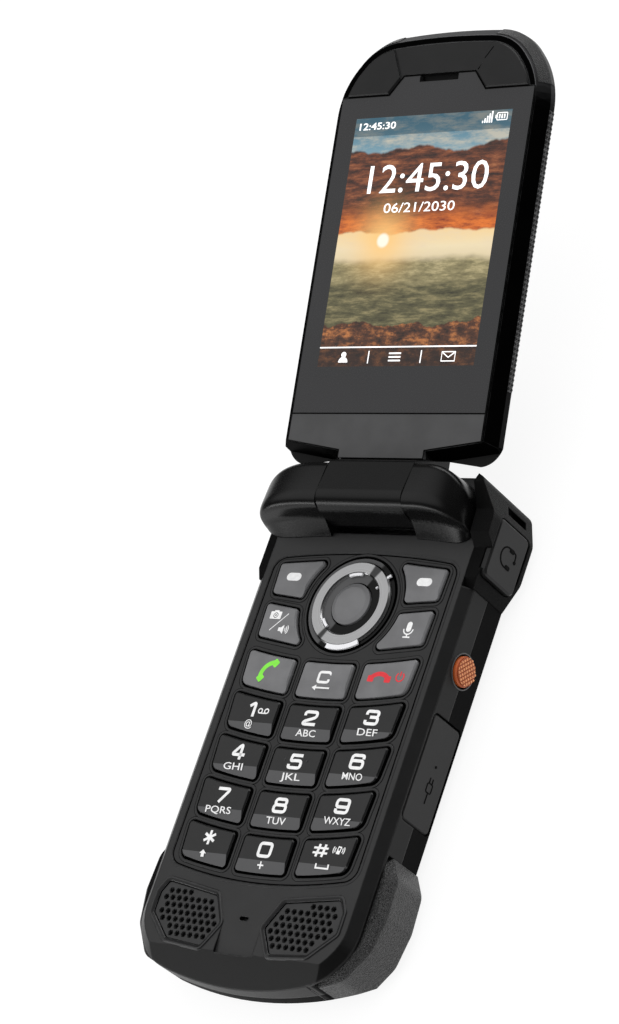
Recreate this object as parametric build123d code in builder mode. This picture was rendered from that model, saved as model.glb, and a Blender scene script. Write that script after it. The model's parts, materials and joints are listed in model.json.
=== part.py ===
"""A rugged clamshell phone, lying open on its back.

Frame: Z is up from the flat back face, Y runs from the chin to the hinge, X across the keypad.
The origin is the centre of the back face. All lengths are millimetres, all angles degrees.
"""

import os
from math import asin, cos, degrees, radians, sin

from build123d import *

os.makedirs("parts", exist_ok=True)

# ---------------------------------------------------------------- handset base
base_length = 109.0
base_width = 54.0
base_height = 14.6  # back face to keypad face
seam_height = 7.7  # where the two base cases meet
case_gap = 0.15  # clearance round a piece that is let into a case
face_bevel_side = 2.0  # bevel between keypad face and side wall, across
face_bevel_drop = 1.8  # and down
back_bevel = 2.5
chin_bow = 3.1  # bulge of the chin's end
chin_half = 21.5  # half width of the bowed end
chin_corner = 6.8  # length of the slanted chin corner
chin_radius = 11.0
chin_under_length = 3.4  # bevel below the chin, inwards
chin_under_rise = 5.2  # and up
chin_slope_length = 6.1
chin_slope_drop = 3.6

# ---------------------------------------------------------------- hinge
hinge_rise = 2.85  # axis above the keypad face
hinge_inset = 5.7  # axis to the hinge end of the base
open_angle = 164.8
barrel_width = 21.5
barrel_radius = 7.3  # reach of the barrel's back round the axis
barrel_top = 6.6  # flat top above the axis
barrel_front = 5.9  # front face to the axis
barrel_rear = 5.0  # rear end of the flat top
barrel_round = 3.0
barrel_crown = 7.5  # the open barrel's top edge above the axis, in the lid's frame
barrel_crown_reach = 2.3  # and before it
barrel_brow = 4.7  # its upper front edge before the axis
barrel_brow_height = 4.9
barrel_nose = 6.5  # its lowest front edge before the axis
barrel_heel = 6.2  # its rear edge behind the axis
barrel_heel_height = 4.0
neck_end = 9.8  # how far the barrel's neck reaches into the lid
barrel_gap = 0.25  # at each end of the barrel
barrel_clearance = 0.55  # round the barrel in its cavity
cover_half = 24.0  # outer end of the right hinge cover
cover_half_left = 28.0  # the left one also covers the shoulder
cover_waist = 6.1  # its turned radius beside the lid's lobe
cover_end_radius = 7.6  # and at its outer end
cover_foot = 7.9  # front foot of a hinge cover to the axis
cover_bow_radius = 160.0  # plan curve of the covers' front
cover_shoulder = 8.6  # rounding of a cover's outer end
cover_swing = 7.45  # turned radius of a cover beside the barrel
cover_swing_end = 4.6  # and at its outer end
cover_wedge_height = 2.2  # where the turned part meets the sloped foot
cover_wedge_reach = 5.0
pin_diameter = 4.0
pin_clearance = 0.06
pin_depth = 6.0  # how far pin and shaft reach into each side
spring_unit_diameter = 6.0
spring_unit_length = 10.0

# ---------------------------------------------------------------- lid
lid_length = 97.3  # axis to the far end
lid_width = 54.0
lid_thickness = 9.2
lid_face_rise = 1.85  # inner face above the axis, in the lid's own frame
lid_seam = 3.95  # inner face to the joint of the two lid cases
lid_bevel_side = 2.0
lid_bevel_drop = 2.6
lid_back_bevel_side = 4.5
lid_back_edge = 0.15  # wall left between the joint and the back's bevel
lid_heel = 7.5  # lower edge to the axis
lid_heel_half = 14.0  # half width of the straight lower edge
lid_lobe = 6.5  # the lower edge comes nearer to the axis beyond the hinge covers
lid_lobe_half = 22.3
lid_cheek = 10.2  # where the side walls begin
lid_cheek_round = 2.3  # bulge of the lower corner
lid_corner_length = 11.3  # slanted top corner, along the lid
lid_crown_rise = 1.0  # bulge of the far end
lid_crown_half = 18.4
lid_corner_round = 18.0
lid_crown_round = 14.0
glass_thickness = 1.0
glass_half = 24.4
glass_start = 16.4
glass_end_margin = 13.8  # glass to the lid's far end
glass_tab_half = 12.2
glass_tab_top_half = 9.0
glass_tab_length = 3.9
screen_side_border = 4.6
screen_low_border = 9.7
screen_high_border = 4.6
display_border = 2.0
display_thickness = 1.7
panel_corner = 10.75  # outer lower corner of the lower panel
panel_step = 8.85  # where its tab begins
panel_end = 7.15
lid_rim = 1.2  # flat rim between the bevel and the earpiece cover
earpiece_rise = 0.45  # cover stands above the inner face
slot_width = 9.6
slot_height = 1.3
earpiece_length = 12.0
earpiece_height = 6.0
earpiece_depth = 1.6
window_width = 34.0
window_length = 27.0
window_thickness = 1.0
lens_diameter = 9.0
lens_margin = 17.3  # lens centre to the lid's far end
lens_pitch = 33.0  # lens centre to window centre
lens_thickness = 2.4
pad_thickness = 1.5  # rubber pads on the lid's top corners
pad_proud = 0.15
pad_length = 12.8  # pad to the lid's far end
pad_half = 12.5  # inner end of a pad on the top edge

# ---------------------------------------------------------------- keypad
panel_half = 23.05
panel_top = 36.8
panel_bottom = -34.0
panel_top_sag = 1.6
panel_bottom_sag = 2.7
panel_thickness = 1.2
panel_radius = 3.0
key_rise = 0.7  # keys above the panel
key_gap = 0.35
key_depth = 1.55  # key below the panel's face
key_travel = 0.35
key_clearance = 0.05  # between a pressed key and the mat
key_bevel = 0.3
key_facet = 2.5  # length of the sloped lower facet
key_facet_drop = 0.45
row_pitch = 9.33
first_row_top = 12.5
key_height = 7.3
row_bow_radius = 105.0
centre_key_half = 6.1
side_key_inner = 8.8
side_key_outer = 21.1
side_key_taper = 0.5
key_radius = 0.7
key_outer_radius = 1.7
nav_y = 25.7
nav_well_radius = 10.6
nav_outer_radius = 10.2
nav_inner_radius = 4.8
nav_band_outer = 9.3
nav_band_inner = 6.7
nav_dish_rise = 0.1  # dished floor of the ring above the panel
nav_band_rise = 0.75  # raised band above the panel
ok_radius = 4.5
nav_bar = 2.3  # panel between the navigation well and its neighbours
mat_thickness = 1.0
board_thickness = 0.9

# ---------------------------------------------------------------- chin
grille_inner = 5.4  # pointed inner end to the centre line
grille_outer = 22.9
grille_gap = 0.15
grille_thickness = 1.2
grille_sink = 0.25
grille_pitch = 1.65
grille_hole = 0.5  # radius
grille_margin = 1.05
speaker_thickness = 3.2
speaker_margin = 0.9
mic_slot_width = 2.2
mic_slot_height = 0.8
mic_slot_inset = 13.1  # to the chin's end

# ---------------------------------------------------------------- sides
bumper_bottom = 0.6
bumper_top = 12.2
bumper_bevel = 1.6
bumper_proud = 3.2  # beyond the side wall
bumper_sink = 2.4  # let into it
bumper_length = 29.7  # from the chin's end
bumper_round = 4.0
shoulder_inner = 25.0
shoulder_start = 31.0
shoulder_outer = 29.4
shoulder_wrap = 3.5  # how far it wraps round onto the hinge end
shoulder_wrap_depth = 3.0
ear_height = 17.3
ear_peak = 21.0
usb_y = -6.0
usb_z = 7.6
usb_cover_length = 22.0
usb_cover_height = 9.6
flap_thickness = 1.4
flap_gap = 0.2
flap_radius = 1.2
socket_width = 9.0
socket_height = 3.3
socket_depth = 7.0
socket_wall = 0.4
jack_y = 40.0
jack_z = 9.1
jack_cover_length = 12.4
jack_cover_height = 10.6
jack_diameter = 6.4
jack_bore = 3.5
jack_depth = 10.0
button_y = 15.5
button_z = 8.3
button_diameter = 6.1
button_gap = 0.2
button_rise = 0.9
button_travel = 0.5
button_depth = 2.2
volume_y = 14.0
volume_pitch = 9.4
volume_length = 8.6
volume_height = 3.8
strap_bar = 4.0  # radius of the bar that a strap goes round
strap_width = 1.6
strap_height = 6.8

# ---------------------------------------------------------------- back
cover_width = 44.0
cover_thickness = 1.3
cover_radius = 4.0
cover_margin = 3.0  # battery to the cover's hinge end
cover_lock_margin = 1.2  # lock to the cover's chin end
battery_width = 34.0
battery_length = 58.0
battery_height = 5.0
battery_gap = 0.3
battery_y = 1.0
lock_diameter = 7.0
lock_height = 2.2
lock_margin = 0.8  # battery to lock
lock_gap = 0.2
lock_slot = 1.4
lock_slot_depth = 0.8
screw_x = 19.0
screw_y = 46.0
screw_head = 3.6
screw_sink = 0.4
screw_length = 6.0
screw_shank = 1.6

# ---------------------------------------------------------------- derived frames
half_length = base_length / 2
half_width = base_width / 2
hinge_y = half_length - hinge_inset
hinge_z = base_height + hinge_rise
tilt = radians(180 - open_angle)
lid_out = (0, cos(tilt), sin(tilt))
lid_up = (0, -sin(tilt), cos(tilt))
hinge_point = (0, hinge_y, hinge_z)
hinge_line = Axis(hinge_point, (1, 0, 0))
lid_height_axis = Axis(hinge_point, lid_up)
lid_reach_axis = Axis(hinge_point, lid_out)
hinge_side = Plane(origin=hinge_point, x_dir=(0, 1, 0), z_dir=(1, 0, 0))
lid_side = Plane(origin=hinge_point, x_dir=lid_out, z_dir=(1, 0, 0))
lid_plane = Plane(origin=hinge_point, x_dir=(1, 0, 0), z_dir=lid_up)
lid_face = lid_plane.offset(lid_face_rise)
lid_joint = lid_plane.offset(lid_face_rise - lid_seam)
lid_back = lid_plane.offset(lid_face_rise - lid_thickness)
base_face = Plane.XY.offset(base_height)
base_joint = Plane.XY.offset(seam_height)
cavity_radius = barrel_radius + barrel_clearance
cavity_half = barrel_width / 2 + barrel_gap
key_foot = base_height - key_depth
mat_top = key_foot - key_travel - key_clearance
board_top = mat_top - mat_thickness
pocket_floor = board_top - board_thickness
chin_end = chin_bow - half_length
lock_y = battery_y - battery_length / 2 - lock_margin - lock_diameter / 2
cover_low = lock_y - lock_diameter / 2 - cover_lock_margin
cover_high = battery_y + battery_length / 2 + cover_margin
cover_length = cover_high - cover_low
cover_y = (cover_high + cover_low) / 2
lid_shoulder = lid_length - lid_corner_length
lid_crown = lid_length - lid_crown_rise
glass_end = lid_length - glass_end_margin
glass_tab_end = glass_end + glass_tab_length
screen_width = 2 * (glass_half - screen_side_border)
screen_start = glass_start + screen_low_border
screen_length = glass_end - screen_high_border - screen_start
lens_centre = lid_length - lens_margin
window_centre = lens_centre - lens_pitch
pad_start = lid_length - pad_length


def finish(piece, name):
    """Label a finished piece and write it as parts/name.step."""
    piece.label = name
    export_step(piece, f"parts/{name}.step")


def corner(sketch, x, y):
    """The vertex of a sketch that lies nearest to a point."""
    return sketch.vertices().sort_by_distance((x, y))[0]


# ---------------------------------------------------------------- plan outlines
def base_outline():
    """The base from above: straight sides, slanted chin corners and a bowed chin."""
    with BuildSketch() as outline:
        with BuildLine():
            ThreePointArc((-chin_half, chin_end), (0, -half_length), (chin_half, chin_end))
            Polyline(
                (chin_half, chin_end),
                (half_width, chin_end + chin_corner),
                (half_width, half_length),
                (-half_width, half_length),
                (-half_width, chin_end + chin_corner),
                (-chin_half, chin_end),
            )
        make_face()
        for side in (-1, 1):
            fillet(corner(outline, side * chin_half, chin_end), chin_radius)
            fillet(corner(outline, side * half_width, chin_end + chin_corner), chin_radius)
    return outline.sketch_local


def keypad_outline(grow=0.0):
    """The keypad panel from above, grown outwards by a clearance."""
    with BuildSketch() as outline:
        with BuildLine():
            ThreePointArc(
                (-panel_half, panel_bottom + panel_bottom_sag),
                (0, panel_bottom),
                (panel_half, panel_bottom + panel_bottom_sag),
            )
            Line((panel_half, panel_bottom + panel_bottom_sag), (panel_half, panel_top - panel_top_sag))
            ThreePointArc(
                (panel_half, panel_top - panel_top_sag),
                (0, panel_top),
                (-panel_half, panel_top - panel_top_sag),
            )
            Line((-panel_half, panel_top - panel_top_sag), (-panel_half, panel_bottom + panel_bottom_sag))
        make_face()
        fillet(outline.vertices(), panel_radius)
        if grow:
            offset(amount=grow)
    return outline.sketch_local


def row_bow(x):
    """How far the bowed key rows rise at a distance from the centre line."""
    return x**2 / (2 * row_bow_radius)


def bowed_line(start, end, level):
    """Three points on a bowed row's line, for an arc between two distances from the centre line."""
    middle = (start + end) / 2
    return [(x, level + row_bow(x)) for x in (start, middle, end)]


def bowed_key(inner, outer, row, radius_outer, taper):
    """A key between two column lines of a bowed row, seen from above."""
    top = first_row_top - row * row_pitch
    bottom = top - key_height
    low = outer - taper
    upper = bowed_line(inner, outer, top)
    lower = bowed_line(low, inner, bottom)
    with BuildSketch() as outline:
        with BuildLine():
            ThreePointArc(*upper)
            Line(upper[-1], lower[0])
            ThreePointArc(*lower)
            Line(lower[-1], upper[0])
        make_face()
        fillet(corner(outline, low, bottom), radius_outer)
        fillet(corner(outline, inner, bottom), key_radius)
        fillet(corner(outline, outer, top), key_radius)
        fillet(corner(outline, inner, top), key_radius)
    return outline.sketch_local


def ring_key(points):
    """A key beside the navigation ring: a quadrilateral less the ring's own circle."""
    with BuildSketch() as outline:
        with BuildLine():
            Polyline(*points, close=True)
        make_face()
        with Locations((0, nav_y)):
            Circle(nav_well_radius + nav_bar, mode=Mode.SUBTRACT)
        fillet(outline.vertices(), key_radius)
    return outline.sketch_local


def mirrored(sketch):
    """A plan outline mirrored to the other side of the centre line."""
    with BuildSketch() as other:
        mirror(sketch, about=Plane.YZ)
    return other.sketch_local


# Outlines of all keys by name. Number rows follow the send and end row.
soft_points = [
    (side_key_inner - 1.8, nav_y + 9.5),
    (side_key_outer - 0.1, nav_y + 8.3),
    (side_key_outer - 0.4, nav_y + 1.7),
    (side_key_inner - 0.8, nav_y + 0.5),
]
lower_points = [
    (side_key_inner - 0.8, nav_y - 2.3),
    (side_key_outer - 0.2, nav_y - 0.7),
    (side_key_outer - 0.5, nav_y - 7.9),
    (side_key_inner - 1.8, nav_y - 9.8),
]
key_outlines = {
    "soft_key_right": ring_key(soft_points),
    "microphone_key": ring_key(lower_points),
    "soft_key_left": mirrored(ring_key(soft_points)),
    "camera_key": mirrored(ring_key(lower_points)),
}
row_names = [
    ("send_key", "clear_key", "end_key"),
    ("key_1", "key_2", "key_3"),
    ("key_4", "key_5", "key_6"),
    ("key_7", "key_8", "key_9"),
    ("key_star", "key_0", "key_hash"),
]
for row, (left_name, centre_name, right_name) in enumerate(row_names):
    side_outline = bowed_key(side_key_inner, side_key_outer, row, key_outer_radius, side_key_taper)
    key_outlines[right_name] = side_outline
    key_outlines[left_name] = mirrored(side_outline)
    key_outlines[centre_name] = bowed_key(-centre_key_half, centre_key_half, row, key_radius, 0.0)


# ---------------------------------------------------------------- keys
def make_key(name, outline):
    """One key: bevelled cap with a sloped facet along its lower edge."""
    with BuildPart() as key:
        with BuildSketch(Plane.XY.offset(key_foot)):
            add(outline)
        extrude(amount=key_depth + key_rise)
        chamfer(key.edges().group_by(Axis.Z)[-1], key_bevel)
        low = key.part.bounding_box().min.Y
        top = base_height + key_rise
        reach = key.part.bounding_box().max.X - key.part.bounding_box().min.X
        centre = key.part.bounding_box().center().X
        with BuildSketch(Plane.YZ.offset(centre)):
            with BuildLine():
                Polyline(
                    (low - 1.0, top - key_facet_drop * (1 + 1.0 / key_facet)),
                    (low + key_facet, top),
                    (low - 1.0, top),
                    close=True,
                )
            make_face()
        extrude(amount=reach, both=True, mode=Mode.SUBTRACT)
    finish(key.part, name)


for key_name, key_plan in key_outlines.items():
    make_key(key_name, key_plan)

with BuildPart() as nav_ring:
    with BuildSketch(Plane.XY.offset(key_foot)):
        with Locations((0, nav_y)):
            Circle(nav_outer_radius)
            Circle(nav_inner_radius, mode=Mode.SUBTRACT)
    extrude(amount=key_depth + nav_dish_rise)
    with BuildSketch(base_face):
        with Locations((0, nav_y)):
            Circle(nav_band_outer)
            Circle(nav_band_inner, mode=Mode.SUBTRACT)
    extrude(amount=nav_band_rise)
    chamfer(nav_ring.edges().group_by(Axis.Z)[-1], key_bevel)
finish(nav_ring.part, "nav_ring")

with BuildPart() as ok_key:
    with BuildSketch(Plane.XY.offset(key_foot)):
        with Locations((0, nav_y)):
            Circle(ok_radius)
    extrude(amount=key_depth + key_rise)
    ok_face = ok_key.faces().sort_by(Axis.Z)[-1]
    chamfer(ok_face.edges(), 3 * key_bevel, key_bevel, reference=ok_face)
finish(ok_key.part, "ok_key")

with BuildPart() as keypad_panel:
    with BuildSketch(base_face):
        add(keypad_outline())
    extrude(amount=-panel_thickness)
    with BuildSketch(base_face):
        for key_plan in key_outlines.values():
            offset(key_plan, amount=key_gap, mode=Mode.ADD)
        with Locations((0, nav_y)):
            Circle(nav_well_radius)
    extrude(amount=-panel_thickness, mode=Mode.SUBTRACT)
finish(keypad_panel.part, "keypad_panel")

with BuildPart() as keypad_mat:
    with BuildSketch(Plane.XY.offset(mat_top)):
        add(keypad_outline(-case_gap))
    extrude(amount=-mat_thickness)
finish(keypad_mat.part, "keypad_mat")

with BuildPart() as main_board:
    with BuildSketch(Plane.XY.offset(board_top)):
        add(keypad_outline(-case_gap))
    extrude(amount=-board_thickness)
finish(main_board.part, "main_board")


# ---------------------------------------------------------------- chin: grilles and speakers
grille_points = [
    (grille_inner + 3.0, panel_bottom - 3.2),
    (grille_outer - 1.5, panel_bottom - 1.3),
    (grille_outer, panel_bottom - 3.9),
    (grille_outer, chin_end + 9.2),
    (grille_outer - 5.3, chin_end + 4.2),
    (grille_inner + 3.2, chin_end + 3.4),
    (grille_inner, chin_end + 8.6),
]


def grille_outline(side, grow=0.0):
    """One loudspeaker grille from above."""
    with BuildSketch() as outline:
        with BuildLine():
            Polyline(*[(side * x, y) for x, y in grille_points], close=True)
        make_face()
        fillet(outline.vertices(), 1.0)
        if grow:
            offset(amount=grow)
    return outline.sketch_local


def grille_holes(side):
    """The staggered sound holes that fit inside a grille's margin."""
    field = grille_outline(side, -grille_margin).faces()[0]
    centre = field.center()
    spots = []
    for row in range(-5, 6):
        shift = grille_pitch / 2 if row % 2 else 0.0
        for column in range(-7, 8):
            x = centre.X + column * grille_pitch + shift
            y = centre.Y + row * grille_pitch * 0.87
            if field.is_inside((x, y, 0)):
                spots.append((x, y))
    return spots


def make_grille(side, name):
    """A let-in plate with staggered sound holes."""
    with BuildPart() as grille:
        with BuildSketch(Plane.XY.offset(base_height - grille_sink)):
            add(grille_outline(side))
        extrude(amount=-grille_thickness)
        chamfer(grille.edges().group_by(Axis.Z)[-1], 0.3)
        with BuildSketch(Plane.XY.offset(base_height - grille_sink)):
            with Locations(*grille_holes(side)):
                RegularPolygon(radius=grille_hole, side_count=6)
        extrude(amount=-grille_thickness, mode=Mode.SUBTRACT)
    finish(grille.part, name)


make_grille(-1, "speaker_grille_left")
make_grille(1, "speaker_grille_right")

speaker_top = base_height - grille_sink - grille_thickness
with BuildPart() as speakers:
    for side in (-1, 1):
        with BuildSketch(Plane.XY.offset(speaker_top - speaker_thickness)):
            add(grille_outline(side, -speaker_margin))
        extrude(amount=speaker_thickness)
finish(speakers.part, "speakers")


# ---------------------------------------------------------------- rubber corners
def bumper_plan():
    """The right chin bumper from above, round the base's slanted chin corner."""
    start = bumper_length - half_length
    cheek = chin_end + chin_corner
    rounded = [
        (half_width + bumper_proud - 0.4, start - 4.2),
        (half_width + bumper_proud, start - 11.7),
        (half_width + bumper_proud - 1.2, cheek + 1.1),
        (chin_half + bumper_proud + 0.1, chin_end + 1.5),
    ]
    with BuildSketch() as outline:
        with BuildLine():
            Polyline(
                (half_width - bumper_sink, start),
                (half_width + 0.2, start),
                *rounded,
                (chin_half - 3.5, chin_end - 0.95),
                (chin_half - 4.0, chin_end + 1.1),
                (half_width - bumper_sink, cheek - 1.4),
                close=True,
            )
        make_face()
        for x, y in rounded:
            fillet(corner(outline, x, y), bumper_round)
    return outline.sketch_local


chin_bow_radius = (chin_half**2 + chin_bow**2) / (2 * chin_bow)
with BuildPart() as chin_under:
    with BuildSketch(Plane.YZ):
        with BuildLine():
            Polyline(
                (-half_length - 2.0, chin_under_rise * (1 + 2.0 / chin_under_length)),
                (-half_length + chin_under_length, 0),
                (-half_length + chin_under_length, -1.0),
                (-half_length - 2.0, -1.0),
                close=True,
            )
        make_face()
    turn = degrees(asin((half_width + bumper_proud) / chin_bow_radius)) + 1.0
    revolve(axis=Axis((0, chin_bow_radius - half_length, 0), (0, 0, 1)), revolution_arc=turn)
    mirror(about=Plane.YZ)

with BuildPart() as corner_bumper_right:
    with BuildSketch(Plane.XY.offset(bumper_bottom)):
        add(bumper_plan())
    extrude(amount=bumper_top - bumper_bottom)
    flat_edges = corner_bumper_right.edges().filter_by(Plane.XY)
    buried = half_width - bumper_sink / 2
    rim = flat_edges.filter_by(lambda e: e.center().X > buried or e.center().Y < chin_end + 0.9)
    chamfer(rim, bumper_bevel)
    add(chin_under.part, mode=Mode.SUBTRACT)
finish(corner_bumper_right.part, "corner_bumper_right")
with BuildPart() as corner_bumper_left:
    mirror(corner_bumper_right.part, about=Plane.YZ)
finish(corner_bumper_left.part, "corner_bumper_left")


def shoulder_plan(grow=0.0):
    """The right shoulder bumper from above."""
    with BuildSketch() as outline:
        with BuildLine():
            Polyline(
                (shoulder_inner, shoulder_start),
                (half_width + 0.1, shoulder_start),
                (shoulder_outer, shoulder_start + 6.0),
                (shoulder_outer, half_length - 9.0),
                (half_width, half_length - 2.9),
                (shoulder_inner - shoulder_wrap, half_length),
                (shoulder_inner - shoulder_wrap, half_length - shoulder_wrap_depth),
                (shoulder_inner, half_length - shoulder_wrap_depth - 2.0),
                close=True,
            )
        make_face()
        fillet(corner(outline, shoulder_outer, shoulder_start + 6.0), 4.0)
        fillet(corner(outline, shoulder_outer, half_length - 9.0), 4.0)
        fillet(corner(outline, half_width, half_length - 2.9), 3.0)
        if grow:
            offset(amount=grow)
    return outline.sketch_local


def flap_outline(length, height, grow=0.0):
    """A rounded rectangle on the side wall: length along Y, height along Z."""
    with BuildSketch() as outline:
        RectangleRounded(length + 2 * grow, height + 2 * grow, flap_radius + grow)
    return outline.sketch_local


def side_plane(x, y, z):
    """A plane facing +X whose local x is Y and local y is Z."""
    return Plane(origin=(x, y, z), x_dir=(0, 1, 0), z_dir=(1, 0, 0))


ear_profile = [
    (shoulder_start - 1.0, -1.0),
    (shoulder_start - 1.0, base_height - 1.8),
    (shoulder_start + 2.0, base_height),
    (hinge_y - 9.4, base_height),
    (hinge_y - 7.4, ear_height - 0.1),
    (hinge_y - 2.6, ear_height + 0.2),
    (hinge_y + 1.8, ear_peak),
    (hinge_y + 4.4, ear_peak - 1.0),
    (half_length + 0.1, ear_height - 0.8),
    (half_length + 0.1, back_bevel + bumper_bottom),
    (half_length - back_bevel, bumper_bottom),
    (half_length - back_bevel, -1.0),
]


def make_shoulder(side, name):
    """The rubber shoulder beside the hinge: the right one carries the headset jack, the left one is flush."""
    outer = side_plane(side * shoulder_outer, jack_y, jack_z)
    with BuildPart() as shoulder:
        with BuildSketch(Plane.XY.offset(bumper_bottom)):
            if side > 0:
                add(shoulder_plan())
            else:
                mirror(shoulder_plan(), about=Plane.YZ)
        extrude(amount=ear_peak)
        rim = shoulder.edges().group_by(Axis.Z)[0].filter_by(lambda e: abs(e.center().X) > half_width - 1.0)
        chamfer(rim, back_bevel - bumper_bottom)
        with BuildSketch(Plane.YZ):
            with BuildLine():
                Polyline(*ear_profile, close=True)
            make_face()
        extrude(amount=shoulder_outer + 1.0, both=True, mode=Mode.INTERSECT)
        with BuildSketch(Plane.XY.offset(base_height)):
            with Locations((side * shoulder_inner, half_length)):
                inner_side = Align.MAX if side > 0 else Align.MIN
                Rectangle(shoulder_inner, base_length / 2, align=(inner_side, Align.CENTER))
        extrude(amount=ear_peak, mode=Mode.SUBTRACT)
        if side > 0:
            with BuildSketch(Plane.XY.offset(jack_z - 0.7 - strap_height / 2)):
                with Locations((half_width + 1.6, half_length - 0.9)):
                    Circle(strap_bar + strap_width)
                    Circle(strap_bar, mode=Mode.SUBTRACT)
            extrude(amount=strap_height, mode=Mode.SUBTRACT)
            with BuildSketch(outer):
                add(flap_outline(jack_cover_length, jack_cover_height, flap_gap))
            extrude(amount=-flap_thickness - flap_gap, mode=Mode.SUBTRACT)
            with BuildSketch(outer):
                Circle(jack_diameter / 2 + case_gap)
            extrude(amount=-shoulder_outer, mode=Mode.SUBTRACT)
        if side < 0:
            with BuildSketch():
                Rectangle(base_width, base_length)
            extrude(amount=base_height, mode=Mode.INTERSECT)
    finish(shoulder.part, name)


make_shoulder(-1, "shoulder_bumper_left")
make_shoulder(1, "shoulder_bumper_right")

# ---------------------------------------------------------------- openings shared by both base cases
with BuildPart() as side_openings:
    with BuildSketch(Plane.XY.offset(bumper_bottom)):
        add(bumper_plan())
        mirror(bumper_plan(), about=Plane.YZ)
    extrude(amount=bumper_top - bumper_bottom)
    with BuildSketch(Plane.XY.offset(-1.0)):
        add(shoulder_plan())
        mirror(shoulder_plan(), about=Plane.YZ)
        corner_room = half_length + 1.0 - shoulder_start
        wrap_start = half_length - shoulder_wrap_depth
        with Locations((shoulder_inner, shoulder_start)):
            Rectangle(base_width, corner_room, align=(Align.MIN, Align.MIN))
        with Locations((shoulder_inner - shoulder_wrap, wrap_start)):
            Rectangle(base_width, corner_room, align=(Align.MIN, Align.MIN))
        with Locations((-shoulder_inner, shoulder_start)):
            Rectangle(base_width, corner_room, align=(Align.MAX, Align.MIN))
        with Locations((shoulder_wrap - shoulder_inner, wrap_start)):
            Rectangle(base_width, corner_room, align=(Align.MAX, Align.MIN))
    extrude(amount=base_height + 2.0)
    with BuildSketch(side_plane(half_width + 1.0, usb_y, usb_z)):
        add(flap_outline(usb_cover_length, usb_cover_height, flap_gap))
    extrude(amount=-1.0 - flap_thickness - flap_gap)
    with BuildSketch(side_plane(half_width, usb_y, usb_z)):
        Rectangle(socket_width + 2 * socket_wall, socket_height + 2 * socket_wall)
    extrude(amount=-flap_thickness - flap_gap - socket_depth)
    with BuildSketch(side_plane(half_width, jack_y, jack_z)):
        Circle(jack_diameter / 2)
    extrude(amount=-jack_depth)
    with BuildSketch(side_plane(half_width + 1.0, button_y, button_z)):
        Circle(button_diameter / 2 + button_gap)
    extrude(amount=-1.0 - button_depth - button_travel - case_gap)
    with BuildSketch(side_plane(-half_width - 1.0, volume_y, button_z)):
        with Locations((0, 0), (-volume_pitch, 0)):
            RectangleRounded(volume_length + 2 * button_gap, volume_height + 2 * button_gap, flap_radius)
    extrude(amount=1.0 + button_depth + button_travel + case_gap)

# ---------------------------------------------------------------- base cases
with BuildPart() as front_case:
    with BuildSketch(base_joint):
        add(base_outline())
    extrude(amount=base_height - seam_height)
    face_edges = front_case.edges().group_by(Axis.Z)[-1].filter_by(lambda e: e.center().Y < half_length - 1.0)
    keypad_side = front_case.faces().sort_by(Axis.Z)[-1]
    chamfer(face_edges, face_bevel_side, face_bevel_drop, reference=keypad_side)
    with BuildSketch(Plane.YZ):
        with BuildLine():
            Polyline(
                (chin_slope_length - half_length, base_height),
                (-half_length, base_height - chin_slope_drop),
                (-half_length - 2.0, base_height - chin_slope_drop),
                (-half_length - 2.0, base_height),
                close=True,
            )
        make_face()
    extrude(amount=half_width, both=True, mode=Mode.SUBTRACT)
    with BuildSketch(Plane.YZ):
        with BuildLine():
            Polyline(
                (mic_slot_inset - half_length - 1.5, base_height),
                (chin_slope_length - half_length - 0.3, base_height - grille_sink - 0.45),
                (chin_slope_length - half_length - 0.3, base_height),
                close=True,
            )
        make_face()
    extrude(amount=grille_points[-1][0] - 0.6, both=True, mode=Mode.SUBTRACT)
    with BuildSketch(hinge_side):
        Circle(cavity_radius)
        with Locations((hinge_inset, 0)):
            Rectangle(2 * hinge_inset, 2 * cavity_radius)
    extrude(amount=cavity_half, both=True, mode=Mode.SUBTRACT)
    with BuildSketch(base_face):
        add(keypad_outline(case_gap))
    extrude(amount=pocket_floor - base_height, mode=Mode.SUBTRACT)
    with BuildSketch(base_face):
        for side in (-1, 1):
            add(grille_outline(side, grille_gap))
    extrude(amount=speaker_top - speaker_thickness - base_height, mode=Mode.SUBTRACT)
    with BuildSketch(base_face):
        with Locations((0, mic_slot_inset - half_length)):
            SlotOverall(mic_slot_width, mic_slot_height)
    extrude(amount=-1.2, mode=Mode.SUBTRACT)
    add(side_openings.part, mode=Mode.SUBTRACT)
finish(front_case.part, "front_case")

bay_top = cover_thickness + case_gap + battery_height + battery_gap
with BuildPart() as rear_case:
    with BuildSketch():
        add(base_outline())
    extrude(amount=seam_height)
    chamfer(rear_case.edges().group_by(Axis.Z)[0], back_bevel)
    with BuildSketch():
        with Locations((0, cover_y)):
            RectangleRounded(cover_width + 2 * case_gap, cover_length + 2 * case_gap, cover_radius)
    extrude(amount=cover_thickness + case_gap, mode=Mode.SUBTRACT)
    with BuildSketch():
        with Locations((0, battery_y)):
            Rectangle(battery_width + 2 * battery_gap, battery_length + 2 * battery_gap)
    extrude(amount=bay_top, mode=Mode.SUBTRACT)
    with BuildSketch():
        with Locations((0, lock_y)):
            Circle(lock_diameter / 2 + lock_gap)
    extrude(amount=lock_height + case_gap, mode=Mode.SUBTRACT)
    with GridLocations(2 * screw_x, 2 * screw_y, 2, 2):
        Cylinder(screw_head / 2 + case_gap, 2 * (screw_sink + 1.2), mode=Mode.SUBTRACT)
        Cylinder(screw_shank / 2, 2 * screw_length, mode=Mode.SUBTRACT)
    add(side_openings.part, mode=Mode.SUBTRACT)
    add(chin_under.part, mode=Mode.SUBTRACT)
finish(rear_case.part, "rear_case")

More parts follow.
